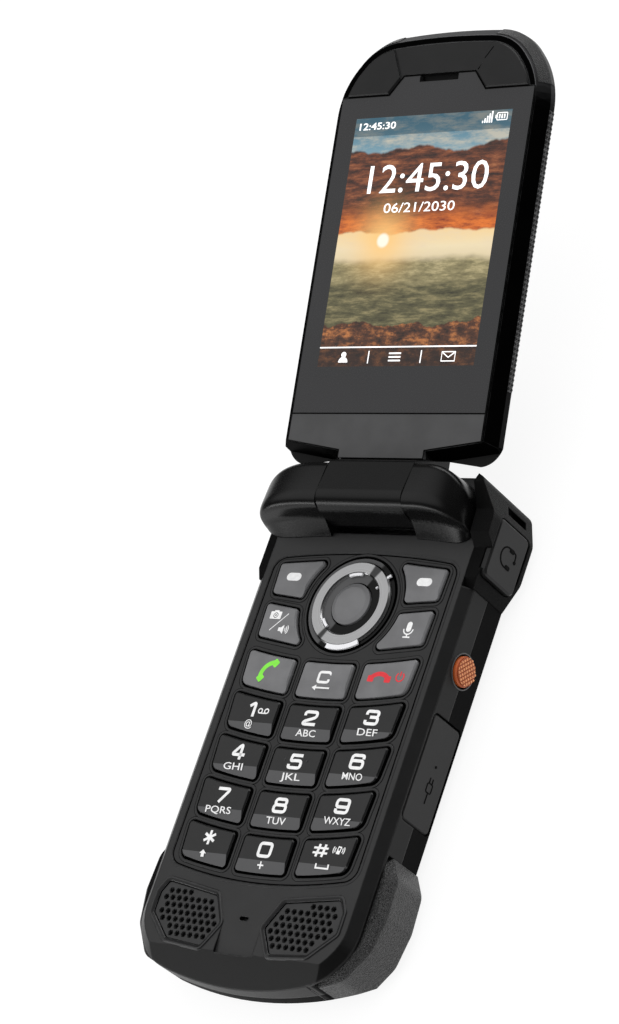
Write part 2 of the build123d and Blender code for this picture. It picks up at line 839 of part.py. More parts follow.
with BuildPart() as case_screws:
    with BuildSketch(Plane.XY.offset(screw_sink)):
        with GridLocations(2 * screw_x, 2 * screw_y, 2, 2):
            Circle(screw_head / 2)
    extrude(amount=1.2)
    with BuildSketch(Plane.XY.offset(screw_sink)):
        with GridLocations(2 * screw_x, 2 * screw_y, 2, 2):
            Circle(screw_shank / 2)
    extrude(amount=screw_length - screw_sink)
    with BuildSketch(Plane.XY.offset(screw_sink)):
        with GridLocations(2 * screw_x, 2 * screw_y, 2, 2):
            RegularPolygon(radius=0.9, side_count=6)
    extrude(amount=0.7, mode=Mode.SUBTRACT)
finish(case_screws.part, "case_screws")

with BuildPart() as battery:
    with BuildSketch(Plane.XY.offset(cover_thickness + case_gap)):
        with Locations((0, battery_y)):
            Rectangle(battery_width, battery_length)
    extrude(amount=battery_height)
    fillet(battery.edges().filter_by(Axis.Z), 1.5)
finish(battery.part, "battery")

with BuildPart() as battery_cover:
    with BuildSketch():
        with Locations((0, cover_y)):
            RectangleRounded(cover_width, cover_length, cover_radius - case_gap)
        with Locations((0, lock_y)):
            Circle(lock_diameter / 2 + lock_gap, mode=Mode.SUBTRACT)
    extrude(amount=cover_thickness)
finish(battery_cover.part, "battery_cover")

with BuildPart() as cover_lock:
    with BuildSketch():
        with Locations((0, lock_y)):
            Circle(lock_diameter / 2)
    extrude(amount=lock_height)
    with BuildSketch():
        with Locations((0, lock_y)):
            SlotOverall(lock_diameter - 1.4, lock_slot)
    extrude(amount=lock_slot_depth, mode=Mode.SUBTRACT)
finish(cover_lock.part, "cover_lock")


# ---------------------------------------------------------------- side covers, sockets and buttons
def make_flap(name, x, y, z, length, height, plug):
    """A rubber port cover with its plug, let into the side wall."""
    with BuildPart() as flap:
        with BuildSketch(side_plane(x, y, z)):
            add(flap_outline(length, height))
        extrude(amount=-flap_thickness)
        chamfer(flap.edges().group_by(Axis.X)[-1], 0.4)
        with BuildSketch(side_plane(x - flap_thickness, y, z)):
            add(plug)
        extrude(amount=-1.2)
    finish(flap.part, name)


with BuildSketch() as usb_plug:
    Rectangle(socket_width - 1.6, socket_height - 1.0)
with BuildSketch() as jack_plug:
    Circle(jack_bore / 2 - 0.5)
make_flap("usb_cover", half_width, usb_y, usb_z, usb_cover_length, usb_cover_height, usb_plug.sketch_local)
make_flap(
    "headset_cover", shoulder_outer, jack_y, jack_z, jack_cover_length, jack_cover_height, jack_plug.sketch_local
)

socket_face = half_width - flap_thickness - flap_gap
with BuildPart() as usb_socket:
    with BuildSketch(side_plane(socket_face, usb_y, usb_z)):
        Rectangle(socket_width + 2 * socket_wall, socket_height + 2 * socket_wall)
    extrude(amount=-socket_depth)
    with BuildSketch(side_plane(socket_face, usb_y, usb_z)):
        RectangleRounded(socket_width, socket_height, socket_height / 2 - 0.1)
    extrude(amount=-socket_depth + 1.0, mode=Mode.SUBTRACT)
    with BuildSketch(side_plane(socket_face - 1.4, usb_y, usb_z)):
        Rectangle(socket_width - 2.4, 0.7)
    extrude(amount=-socket_depth + 2.4)
finish(usb_socket.part, "usb_socket")

with BuildPart() as headset_socket:
    with BuildSketch(side_plane(shoulder_outer - flap_thickness - flap_gap, jack_y, jack_z)):
        Circle(jack_diameter / 2)
    extrude(amount=half_width - jack_depth - shoulder_outer + flap_thickness + flap_gap)
    with BuildSketch(side_plane(shoulder_outer, jack_y, jack_z)):
        Circle(jack_bore / 2)
    extrude(amount=half_width - jack_depth - shoulder_outer + 1.0, mode=Mode.SUBTRACT)
finish(headset_socket.part, "headset_socket")

with BuildPart() as side_button:
    with BuildSketch(side_plane(half_width - button_depth, button_y, button_z)):
        Circle(button_diameter / 2)
    extrude(amount=button_depth + button_rise)
    chamfer(side_button.edges().group_by(Axis.X)[-1], 0.5)
finish(side_button.part, "side_button")


def make_volume_key(name, y):
    """One of the two volume keys on the left side wall."""
    with BuildPart() as key:
        with BuildSketch(side_plane(-half_width - button_rise, y, button_z)):
            RectangleRounded(volume_length, volume_height, flap_radius)
        extrude(amount=button_rise + button_depth)
        chamfer(key.edges().group_by(Axis.X)[0], 0.4)
    finish(key.part, name)


make_volume_key("volume_up_key", volume_y)
make_volume_key("volume_down_key", volume_y - volume_pitch)

# ---------------------------------------------------------------- hinge
cover_top = barrel_top


def cover_reach(half, swing_points):
    """All that one hinge cover may fill beside the turning lid: a turned shape and its sloped foot."""
    with BuildPart() as reach:
        with BuildSketch(Plane(origin=hinge_point, x_dir=(1, 0, 0), z_dir=(0, -1, 0))):
            with BuildLine():
                ThreePointArc((half, swing_points[1]), swing_points[0], (cavity_half, cover_swing))
                Polyline((cavity_half, cover_swing), (cavity_half, 0), (half, 0), (half, swing_points[1]))
            make_face()
        revolve(axis=hinge_line)
        with BuildSketch(hinge_side.offset(cavity_half)):
            with BuildLine():
                Polyline(
                    (-cover_foot - 2.0, -hinge_rise),
                    (-cover_wedge_reach, cover_wedge_height),
                    (hinge_inset, cover_wedge_height),
                    (hinge_inset, -hinge_rise),
                    close=True,
                )
            make_face()
        extrude(amount=half - cavity_half)
    return reach.part


def hinge_cover(half, swing_points):
    """A hinge cover on the right side: bowed section, rounded outer end, room for the lid, bore for the pin."""
    with BuildPart() as cover:
        with BuildSketch(hinge_side) as cover_section:
            with BuildLine():
                Polyline(
                    (-cover_foot, -hinge_rise),
                    (-cover_foot + 0.9, -hinge_rise + 2.4),
                    (-barrel_front, 1.5),
                    (-barrel_front + 0.5, 4.4),
                    (-barrel_front + 2.0, cover_top),
                    (barrel_rear - 0.2, cover_top - 1.0),
                    (hinge_inset, 3.0),
                    (hinge_inset, -hinge_rise),
                    close=True,
                )
            make_face()
            fillet(corner(cover_section, -barrel_front + 2.0, cover_top), 2.6)
            fillet(corner(cover_section, -barrel_front + 0.5, 4.4), 2.0)
            fillet(corner(cover_section, barrel_rear - 0.2, cover_top - 1.0), 1.5)
        bow_axis = Axis((0, hinge_y - cover_foot - cover_bow_radius, 0), (0, 0, -1))
        revolve(axis=bow_axis, revolution_arc=degrees(asin(half / cover_bow_radius)) + 1.0)
        with BuildSketch(Plane.XZ.offset(-half_length - 2.0)) as cover_front:
            with Locations((cavity_half, base_height)):
                Rectangle(half - cavity_half, hinge_rise + cover_top + 0.1, align=(Align.MIN, Align.MIN))
            fillet(corner(cover_front, half, hinge_z + cover_top), cover_shoulder)
        extrude(amount=cover_foot + hinge_inset + 6.0, mode=Mode.INTERSECT)
        with BuildSketch(base_face) as cover_plan:
            with Locations((cavity_half, half_length)):
                Rectangle(half - cavity_half, hinge_inset + cover_foot + 4.0, align=(Align.MIN, Align.MAX))
            fillet(corner(cover_plan, half, half_length), cover_shoulder)
        extrude(amount=hinge_rise + cover_top + 1.0, mode=Mode.INTERSECT)
        add(cover_reach(half, swing_points), mode=Mode.INTERSECT)
        with BuildSketch(hinge_side):
            Circle(pin_diameter / 2)
        extrude(amount=cavity_half + pin_depth, mode=Mode.SUBTRACT)
    return cover.part


swing_middle = ((2 * cover_half + cavity_half) / 3, cover_swing - 0.7)
finish(hinge_cover(cover_half, (swing_middle, cover_swing_end)), "hinge_cover_right")
with BuildPart() as hinge_cover_left:
    mirror(hinge_cover(cover_half_left, ((lid_lobe_half, cover_waist), cover_end_radius)), about=Plane.YZ)
finish(hinge_cover_left.part, "hinge_cover_left")

neck_half = barrel_width / 2
neck_bottom = lid_face_rise - lid_thickness + case_gap
barrel_front_points = [
    (barrel_heel, barrel_heel_height),
    (-barrel_crown_reach, barrel_crown),
    (-barrel_brow, barrel_brow_height),
    (-barrel_nose, 0.3),
]
with BuildPart() as hinge_barrel:
    with BuildSketch(lid_side) as barrel_section:
        with BuildLine():
            Polyline(
                (0, neck_bottom),
                (neck_end, neck_bottom),
                (neck_end, lid_face_rise - glass_thickness),
                (panel_end - 0.1, lid_face_rise - glass_thickness),
                (panel_end - 0.3, lid_face_rise + 0.1),
                *barrel_front_points,
            )
            ThreePointArc(barrel_front_points[-1], (-barrel_brow, -barrel_brow_height), (0, neck_bottom))
        make_face()
        fillet(corner(barrel_section, *barrel_front_points[1]), barrel_round)
        fillet(corner(barrel_section, *barrel_front_points[2]), barrel_round)
        fillet(corner(barrel_section, *barrel_front_points[0]), 0.8)
    extrude(amount=neck_half, both=True)
    with BuildSketch(hinge_side.offset(-neck_half)):
        Circle(pin_diameter / 2 + pin_clearance)
    extrude(amount=pin_depth + 0.2, mode=Mode.SUBTRACT)
    with BuildSketch(hinge_side.offset(neck_half)):
        Circle(spring_unit_diameter / 2 + 0.02)
    extrude(amount=-spring_unit_length - 0.2, mode=Mode.SUBTRACT)
finish(hinge_barrel.part, "hinge_barrel")

with BuildPart() as hinge_pin:
    with BuildSketch(hinge_side.offset(-cavity_half - pin_depth)):
        Circle(pin_diameter / 2)
    extrude(amount=2 * pin_depth + barrel_gap)
finish(hinge_pin.part, "hinge_pin")

with BuildPart() as hinge_spring_unit:
    with BuildSketch(hinge_side.offset(neck_half - spring_unit_length)):
        Circle(spring_unit_diameter / 2)
    extrude(amount=spring_unit_length)
    with BuildSketch(hinge_side.offset(neck_half)):
        Circle(pin_diameter / 2 - pin_clearance)
    extrude(amount=barrel_gap + pin_depth - 0.3)
finish(hinge_spring_unit.part, "hinge_spring_unit")


# ---------------------------------------------------------------- lid
def lid_outline(grow=0.0):
    """The lid seen along its normal: straight heel, side walls, slanted corners, crowned end."""
    with BuildSketch() as outline:
        with BuildLine():
            Polyline((0, lid_heel), (lid_heel_half, lid_heel), (lid_lobe_half, lid_lobe))
            ThreePointArc(
                (lid_lobe_half, lid_lobe),
                (lid_width / 2 - 1.5, lid_cheek - lid_cheek_round),
                (lid_width / 2, lid_cheek),
            )
            Polyline((lid_width / 2, lid_cheek), (lid_width / 2, lid_shoulder), (lid_crown_half, lid_crown))
            mirror(about=Plane.YZ)
            ThreePointArc((lid_crown_half, lid_crown), (0, lid_length), (-lid_crown_half, lid_crown))
        make_face()
        for side in (-1, 1):
            fillet(corner(outline, side * lid_width / 2, lid_shoulder), lid_corner_round)
            fillet(corner(outline, side * lid_crown_half, lid_crown), lid_crown_round)
        if grow:
            offset(amount=grow)
    return outline.sketch_local


def glass_outline(grow=0.0):
    """The display glass with its tab up to the earpiece slot."""
    with BuildSketch() as outline:
        with BuildLine():
            Polyline(
                (0, glass_start),
                (glass_half, glass_start),
                (glass_half, glass_end),
                (glass_tab_half, glass_end),
                (glass_tab_top_half, glass_tab_end),
                (0, glass_tab_end),
            )
            mirror(about=Plane.YZ)
        make_face()
        if grow:
            offset(amount=grow, kind=Kind.INTERSECTION)
    return outline.sketch_local


def panel_outline(grow=0.0):
    """The lower panel of the lid with the tab that reaches the barrel."""
    with BuildSketch() as outline:
        with BuildLine():
            Polyline(
                (0, glass_start - case_gap),
                (glass_half, glass_start - case_gap),
                (glass_half, panel_corner),
                (neck_half, panel_step),
                (neck_half, panel_end),
                (0, panel_end),
            )
            mirror(about=Plane.YZ)
        make_face()
        if grow:
            offset(amount=grow, kind=Kind.INTERSECTION)
    return outline.sketch_local


def earpiece_cover_outline():
    """The cover at the lid's far end, round the glass tab."""
    with BuildSketch() as outline:
        add(lid_outline(-lid_bevel_side - lid_rim))
        with Locations((0, glass_end + case_gap)):
            Rectangle(2 * lid_width, 2 * lid_length, align=(Align.CENTER, Align.MAX), mode=Mode.SUBTRACT)
        add(glass_outline(case_gap), mode=Mode.SUBTRACT)
    return outline.sketch_local


def pad_region(grow=0.0):
    """The strip along both top corners of the lid that the rubber pads fill."""
    with BuildSketch() as outline:
        add(lid_outline(grow))
        add(lid_outline(-pad_thickness), mode=Mode.SUBTRACT)
        with Locations((0, pad_start)):
            Rectangle(2 * lid_width, 2 * lid_length, align=(Align.CENTER, Align.MAX), mode=Mode.SUBTRACT)
        with Locations((0, lid_length)):
            Rectangle(2 * pad_half, 4 * pad_thickness, mode=Mode.SUBTRACT)
    return outline.sketch_local


pad_bottom = lid_face_rise - lid_seam + lid_back_edge
display_top = lid_face_rise - glass_thickness


def heel_bevel(side):
    """The plane of the lid's sloped lower edge on one side, facing into the lid."""
    inner = lid_plane.from_local_coords((side * neck_half, panel_step - 0.1, lid_face_rise))
    outer = lid_plane.from_local_coords((side * glass_half, panel_corner - 0.1, lid_face_rise))
    low = lid_plane.from_local_coords((side * lid_heel_half, lid_heel, lid_face_rise - lid_seam))
    return Plane(origin=inner, x_dir=outer - inner, z_dir=(outer - inner).cross(low - inner) * side)


with BuildPart() as lid_inner_case:
    with BuildSketch(lid_joint):
        add(lid_outline())
    extrude(amount=lid_seam)
    face_edges = lid_inner_case.edges().group_by(lid_height_axis)[-1]
    side_edges = face_edges.filter_by_position(lid_reach_axis, lid_cheek, lid_length + 1.0)
    face_side = lid_inner_case.faces().sort_by(lid_height_axis)[-1]
    chamfer(side_edges, lid_bevel_side, lid_bevel_drop, reference=face_side)
    for side in (-1, 1):
        split(bisect_by=heel_bevel(side), keep=Keep.TOP)
    with BuildSketch(lid_face):
        add(glass_outline(case_gap))
        add(panel_outline(case_gap))
        add(earpiece_cover_outline())
    extrude(amount=-glass_thickness, mode=Mode.SUBTRACT)
    with BuildSketch(lid_plane.offset(display_top)):
        with Locations((0, screen_start + screen_length / 2)):
            Rectangle(
                screen_width + 2 * display_border + 2 * case_gap, screen_length + 2 * display_border + 2 * case_gap
            )
        with Locations((0, glass_tab_end - slot_height / 2)):
            Rectangle(earpiece_length + 2 * case_gap, earpiece_height + 2 * case_gap)
    extrude(amount=-earpiece_depth - case_gap, mode=Mode.SUBTRACT)
    with BuildSketch(lid_joint):
        with Locations((0, neck_end + case_gap)):
            Rectangle(barrel_width + 2 * case_gap, 2 * lid_heel, align=(Align.CENTER, Align.MAX))
    extrude(amount=lid_seam, mode=Mode.SUBTRACT)
    with BuildSketch(lid_plane.offset(pad_bottom)):
        add(pad_region())
    extrude(amount=lid_thickness, mode=Mode.SUBTRACT)
finish(lid_inner_case.part, "lid_inner_case")

with BuildPart() as lid_outer_case:
    with BuildSketch(lid_back):
        add(lid_outline())
    extrude(amount=lid_thickness - lid_seam)
    back_side = lid_outer_case.faces().sort_by(lid_height_axis)[0]
    back_drop = lid_thickness - lid_seam - lid_back_edge
    chamfer(back_side.edges(), lid_back_bevel_side, back_drop, reference=back_side)
    with BuildSketch(lid_back):
        with Locations((0, neck_end + case_gap)):
            Rectangle(barrel_width + 2 * case_gap, 2 * lid_heel, align=(Align.CENTER, Align.MAX))
    extrude(amount=lid_thickness, mode=Mode.SUBTRACT)
    with BuildSketch(lid_back):
        with Locations((0, window_centre)):
            RectangleRounded(window_width + 2 * case_gap, window_length + 2 * case_gap, 3.0)
    extrude(amount=window_thickness, mode=Mode.SUBTRACT)
    with BuildSketch(lid_back):
        with Locations((0, lens_centre)):
            Circle(lens_diameter / 2 + case_gap)
    extrude(amount=lens_thickness, mode=Mode.SUBTRACT)
finish(lid_outer_case.part, "lid_outer_case")

with BuildPart() as display_glass:
    with BuildSketch(lid_face):
        add(glass_outline())
        with Locations((0, glass_tab_end)):
            Rectangle(slot_width, slot_height, align=(Align.CENTER, Align.MAX), mode=Mode.SUBTRACT)
    extrude(amount=-glass_thickness)
finish(display_glass.part, "display_glass")

with BuildPart() as main_display:
    with BuildSketch(lid_plane.offset(display_top)):
        with Locations((0, screen_start + screen_length / 2)):
            Rectangle(screen_width + 2 * display_border, screen_length + 2 * display_border)
    extrude(amount=-display_thickness)
finish(main_display.part, "main_display")

with BuildPart() as lower_panel:
    with BuildSketch(lid_face):
        add(panel_outline())
    extrude(amount=-glass_thickness)
finish(lower_panel.part, "lower_panel")

with BuildPart() as earpiece:
    with BuildSketch(lid_plane.offset(display_top)):
        with Locations((0, glass_tab_end - slot_height / 2)):
            Rectangle(earpiece_length, earpiece_height)
    extrude(amount=-earpiece_depth)
finish(earpiece.part, "earpiece")

with BuildPart() as earpiece_cover:
    with BuildSketch(lid_face.offset(-glass_thickness)):
        offset(earpiece_cover_outline(), amount=-case_gap, kind=Kind.INTERSECTION)
    extrude(amount=glass_thickness + earpiece_rise)
    chamfer(earpiece_cover.edges().group_by(lid_height_axis)[-1], 0.3)
    with BuildSketch(lid_face.offset(earpiece_rise)):
        with BuildLine():
            Polyline(
                (glass_tab_top_half + 0.6, glass_tab_end - 1.0),
                (glass_tab_top_half + 5.4, lid_length),
                (-glass_tab_top_half - 5.4, lid_length),
                (-glass_tab_top_half - 0.6, glass_tab_end - 1.0),
                close=True,
            )
        make_face()
    extrude(amount=-earpiece_rise + 0.05, mode=Mode.SUBTRACT)
finish(earpiece_cover.part, "earpiece_cover")


def make_pad(side, name):
    """A rubber pad on one top corner of the lid."""
    with BuildPart() as pad:
        with BuildSketch(lid_plane.offset(pad_bottom)):
            add(lid_outline(pad_proud))
            with Locations((0, pad_start)):
                Rectangle(2 * lid_width, 2 * lid_length, align=(Align.CENTER, Align.MAX), mode=Mode.SUBTRACT)
        extrude(amount=lid_face_rise - pad_bottom)
        top_edges = pad.edges().group_by(lid_height_axis)[-1]
        rim = top_edges.filter_by_position(lid_reach_axis, pad_start + 0.5, lid_length + 1.0)
        top_side = pad.faces().sort_by(lid_height_axis)[-1]
        chamfer(rim, lid_bevel_side, lid_bevel_drop, reference=top_side)
        with BuildSketch(lid_plane.offset(pad_bottom)):
            add(pad_region(pad_proud))
            with Locations((-side * lid_width, lid_length)):
                Rectangle(2 * lid_width, 2 * lid_length, mode=Mode.SUBTRACT)
        extrude(amount=lid_thickness, mode=Mode.INTERSECT)
    finish(pad.part, name)


make_pad(-1, "lid_pad_left")
make_pad(1, "lid_pad_right")

with BuildPart() as outer_window:
    with BuildSketch(lid_back):
        with Locations((0, window_centre)):
            RectangleRounded(window_width, window_length, 3.0 - case_gap)
    extrude(amount=window_thickness)
finish(outer_window.part, "outer_window")

with BuildPart() as camera_lens:
    with BuildSketch(lid_back):
        with Locations((0, lens_centre)):
            Circle(lens_diameter / 2)
    extrude(amount=lens_thickness)
    with BuildSketch(lid_back):
        with Locations((0, lens_centre)):
            Circle(lens_diameter / 2 - 1.2)
    extrude(amount=0.4, mode=Mode.SUBTRACT)
finish(camera_lens.part, "camera_lens")
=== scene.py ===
"""Looks of a rugged clamshell phone that lies open on its back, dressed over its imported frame.

Lengths are metres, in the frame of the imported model: Z up from the back face, Y from the chin to the
hinge, X across the keypad. Sizes of small trim are written in millimetres and turned by MM.
"""

import json
import logging
import math
from collections.abc import Callable, Iterable, Sequence
from dataclasses import dataclass
from enum import Enum
from functools import partial

import bmesh
import bpy
from mathutils import Matrix, Vector


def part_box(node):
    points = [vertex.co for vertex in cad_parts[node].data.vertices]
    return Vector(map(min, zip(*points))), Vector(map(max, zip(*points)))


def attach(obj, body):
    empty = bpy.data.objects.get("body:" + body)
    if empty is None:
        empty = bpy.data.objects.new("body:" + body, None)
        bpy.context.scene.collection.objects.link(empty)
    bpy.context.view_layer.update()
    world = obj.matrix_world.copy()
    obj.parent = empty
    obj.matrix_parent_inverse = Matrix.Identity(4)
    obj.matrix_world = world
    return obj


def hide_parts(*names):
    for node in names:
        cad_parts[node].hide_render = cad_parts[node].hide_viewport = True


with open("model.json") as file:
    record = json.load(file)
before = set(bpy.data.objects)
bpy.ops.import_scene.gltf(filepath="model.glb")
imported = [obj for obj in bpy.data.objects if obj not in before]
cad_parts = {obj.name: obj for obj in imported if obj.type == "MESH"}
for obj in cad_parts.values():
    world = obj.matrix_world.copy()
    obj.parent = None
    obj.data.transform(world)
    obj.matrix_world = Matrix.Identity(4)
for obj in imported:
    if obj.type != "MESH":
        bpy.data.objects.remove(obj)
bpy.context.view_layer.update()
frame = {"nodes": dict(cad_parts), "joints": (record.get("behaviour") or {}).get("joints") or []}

MM = 0.001
INK = 0.03  # thickness of a print, in millimetres
CAP_SHARE = 0.72  # height of a capital against the font's size
NEAR = 0.02  # how far apart two corners or heights are still taken as one, in millimetres
LEVEL_NORMAL = 0.98  # upright part of the normal of a face that is taken as level
KNURL_PLATE = 0.3  # thickness of the plate under a knurl's pyramids, in millimetres
RING_CENTRE = (0.0, 25.7)  # middle of the key ring, in millimetres
# edges rubbed pale, and a painted highlight laid along the same edges
EDGE_WEAR_AND_HIGHLIGHT = "edge_wear_and_highlight"

Tree = bpy.types.NodeTree
Node = bpy.types.Node
Socket = bpy.types.NodeSocket
Material = bpy.types.Material
Piece = bpy.types.Object
Colour = tuple[float, float, float]
Stops = Sequence[tuple[float, Colour]]
Spot = tuple[float, float]
Loop = list[Spot]
Bead = tuple[float, float, float]  # reach outside an outline, rise over a level, and radius
Shapes = list[list[Loop]]
Sign = Callable[[float, float], Shapes]
log = logging.getLogger("clamshell_phone")


# ------------------------------------------------------------------ shader trees
def grey(level: float) -> Colour:
    """A neutral colour of one linear level."""
    return (level, level, level * 1.03)


def shaded(colour: Colour, share: float) -> Colour:
    """A colour made darker or lighter by a factor."""
    return tuple(share * part for part in colour)


class Sheet:
    """Adds nodes to one shader tree and joins them."""

    def __init__(self, tree: Tree) -> None:
        """Keeps the tree.

        Args:
            tree: the material, world or group tree that is filled.
        """
        self.tree = tree

    def add(self, kind: str, inputs: dict | None = None, **settings: object) -> Node:
        """Adds one node.

        Args:
            kind: the node's type name.
            inputs: what its sockets take: another node's output, or a value.
            settings: properties of the node itself.

        Returns:
            The new node.
        """
        node = self.tree.nodes.new(kind)
        for key, value in settings.items():
            setattr(node, key, value)
        for key, value in (inputs or {}).items():
            self.feed(node.inputs[key], value)
        return node

    def feed(self, socket: Socket, value: object) -> None:
        """Links an output to a socket, or sets the socket's own value.

        Args:
            socket: the socket that takes it.
            value: another node's output, or a number, vector or colour.
        """
        if isinstance(value, Socket):
            self.tree.links.new(value, socket)
        elif socket.type == "RGBA":
            socket.default_value = (*value, 1.0)
        else:
            socket.default_value = value

    def math(self, operation: str, *values: object) -> Socket:
        """One Math node over sockets or numbers."""
        inputs = dict(enumerate(values))
        return self.add("ShaderNodeMath", inputs, operation=operation).outputs[0]

    def vector(self, operation: str, *values: object) -> Node:
        """One Vector Math node over sockets or vectors."""
        return self.add("ShaderNodeVectorMath", dict(enumerate(values)), operation=operation)

    def remap(
        self, value: object, low: float, high: float, start: float = 0.0, end: float = 1.0
    ) -> Socket:
        """A clamped, smooth change of range.

        Args:
            value: what is read.
            low: where the change begins.
            high: where it ends.
            start: what comes out at low.
            end: what comes out at high.

        Returns:
            The changed value.
        """
        inputs = {"Value": value, "From Min": low, "From Max": high, "To Min": start, "To Max": end}
        return self.add("ShaderNodeMapRange", inputs, interpolation_type="SMOOTHSTEP").outputs[0]

    def remap_line(self, value: object, low: float, high: float) -> Socket:
        """A share from 0 to 1 between two values, not clamped."""
        inputs = {"Value": value, "From Min": low, "From Max": high}
        return self.add("ShaderNodeMapRange", inputs, clamp=False).outputs[0]

    def blend(self, share: object, first: object, second: object) -> Socket:
        """A colour between two, by a share from 0 to 1."""
        inputs = {0: share, 6: first, 7: second}
        return self.add("ShaderNodeMix", inputs, data_type="RGBA").outputs[2]

    def mix(self, share: object, first: object, second: object) -> Socket:
        """A number between two, by a share from 0 to 1."""
        inputs = {0: share, 2: first, 3: second}
        return self.add("ShaderNodeMix", inputs, data_type="FLOAT").outputs[0]

    def reach(self, x: Socket, y: Socket) -> Socket:
        """The distance of a spot from the origin."""
        squares = [self.math("MULTIPLY", part, part) for part in (x, y)]
        return self.math("SQRT", self.math("ADD", *squares))

    def split(self, vector: Socket) -> tuple[Socket, ...]:
        """The three parts of a vector."""
        return tuple(self.add("ShaderNodeSeparateXYZ", {"Vector": vector}).outputs)

    def noise(self, vector: object, size: float, detail: float = 2.0) -> Socket:
        """Noise whose features are about one size across, from 0 to 1."""
        inputs = {"Vector": vector, "Scale": 1.0 / size, "Detail": detail}
        return self.add("ShaderNodeTexNoise", inputs).outputs["Fac"]

    def place(self) -> Socket:
        """Object coordinates, which are the model's own."""
        return self.add("ShaderNodeTexCoord").outputs["Object"]


def new_group(name: str, inputs: Iterable[str], outputs: Iterable[str]) -> tuple[Sheet, Node, Node]:
    """Starts a shader group with float inputs and outputs.

    Args:
        name: the group's name.
        inputs: names of its inputs; "Normal" is made a vector.
        outputs: names of its outputs; "Normal" is made a vector.

    Returns:
        The sheet of its tree, and its input and output nodes.
    """
    tree = bpy.data.node_groups.new(name, "ShaderNodeTree")
    for side, names in (("INPUT", inputs), ("OUTPUT", outputs)):
        for label in names:
            kind = "NodeSocketVector" if label == "Normal" else "NodeSocketFloat"
            tree.interface.new_socket(name=label, in_out=side, socket_type=kind)
    return Sheet(tree), tree.nodes.new("NodeGroupInput"), tree.nodes.new("NodeGroupOutput")


def add_blotches(sheet: Sheet, given: Node, result: Node) -> None:
    """Gives a grain group its slow blotches.

    Args:
        sheet: the sheet of the group's tree.
        given: its input node.
        result: its output node.
    """
    inputs = {"Vector": sheet.place(), "Scale": given.outputs["Blotch Fineness"], "Detail": 4.0}
    blotch = sheet.add("ShaderNodeTexNoise", inputs).outputs["Fac"]
    sheet.feed(result.inputs["Blotch"], sheet.remap(blotch, 0.3, 0.7))


def make_grain_group() -> Tree:
    """Moulded texture: fine pits over slow blotches.

    Returns:
        The group's tree.
    """
    sheet, given, result = new_group("moulded_grain", ["Fineness", "Blotch Fineness"], ["Height", "Blotch"])
    pits = sheet.add(
        "ShaderNodeTexNoise", {"Vector": sheet.place(), "Scale": given.outputs["Fineness"], "Detail": 3.0}
    )
    sheet.feed(result.inputs["Height"], pits.outputs["Fac"])
    add_blotches(sheet, given, result)
    return sheet.tree


def make_leather_group() -> Tree:
    """Leather-like rubber grain: rounded cells parted by creases.

    Returns:
        The group's tree.
    """
    sheet, given, result = new_group("leather_grain", ["Fineness", "Blotch Fineness"], ["Height", "Blotch"])
    place = sheet.place()
    fineness = given.outputs["Fineness"]
    warp = sheet.add("ShaderNodeTexNoise", {"Vector": place, "Scale": fineness, "Detail": 2.0})
    pull = sheet.vector("SCALE", warp.outputs["Color"])
    sheet.feed(pull.inputs["Scale"], 0.6 * MM)
    spot = sheet.vector("ADD", place, pull.outputs[0]).outputs[0]
    cells = sheet.add("ShaderNodeTexVoronoi", {"Vector": spot, "Scale": fineness}, feature="DISTANCE_TO_EDGE")
    sheet.feed(result.inputs["Height"], sheet.remap(cells.outputs["Distance"], 0.0, 0.28))
    add_blotches(sheet, given, result)
    return sheet.tree


def make_wear_and_highlight_group() -> Tree:
    """Softened edges: a normal rounded over them, and a mask of where they are rubbed and get a painted
    highlight.

    Returns:
        The group's tree.
    """
    sheet, given, result = new_group(EDGE_WEAR_AND_HIGHLIGHT, ["Radius", "Gain"], ["Mask", "Normal"])
    rounded_normal = sheet.add("ShaderNodeBevel", {"Radius": given.outputs["Radius"]}, samples=6).outputs[0]
    facing = sheet.add("ShaderNodeNewGeometry").outputs["Normal"]
    same = sheet.vector("DOT_PRODUCT", rounded_normal, facing).outputs["Value"]
    apart = sheet.math("SUBTRACT", 1.0, same)
    patchy = sheet.remap(sheet.noise(sheet.place(), 1.6 * MM, 4.0), 0.35, 0.65, 0.25, 1.0)
    mask = sheet.math("MULTIPLY", sheet.math("MULTIPLY", apart, given.outputs["Gain"]), patchy)
    sheet.feed(result.inputs["Mask"], sheet.add("ShaderNodeClamp", {"Value": mask}).outputs[0])
    sheet.feed(result.inputs["Normal"], rounded_normal)
    return sheet.tree


class Grain(Enum):
    """The surface texture that a moulded piece has."""

    FINE = "moulded_grain"
    LEATHER = "leather_grain"


GROUPS: dict[str, Tree] = {}


def use_group(sheet: Sheet, name: str, inputs: dict[str, float]) -> Node:
    """Places a shared group in a material with its own values.

    Args:
        sheet: the material's sheet.
        name: the group's name.
        inputs: the values of its inputs.

    Returns:
        The group's node.
    """
    node = sheet.add("ShaderNodeGroup", node_tree=GROUPS[name])
    for key, value in inputs.items():
        node.inputs[key].default_value = value
    return node


def use_grain(sheet: Sheet, grain: Grain, size: float, blotch_size: float) -> Node:
    """Places a grain of one size in a material, with blotches of another."""
    return use_group(sheet, grain.value, {"Fineness": 1.0 / size, "Blotch Fineness": 1.0 / blotch_size})


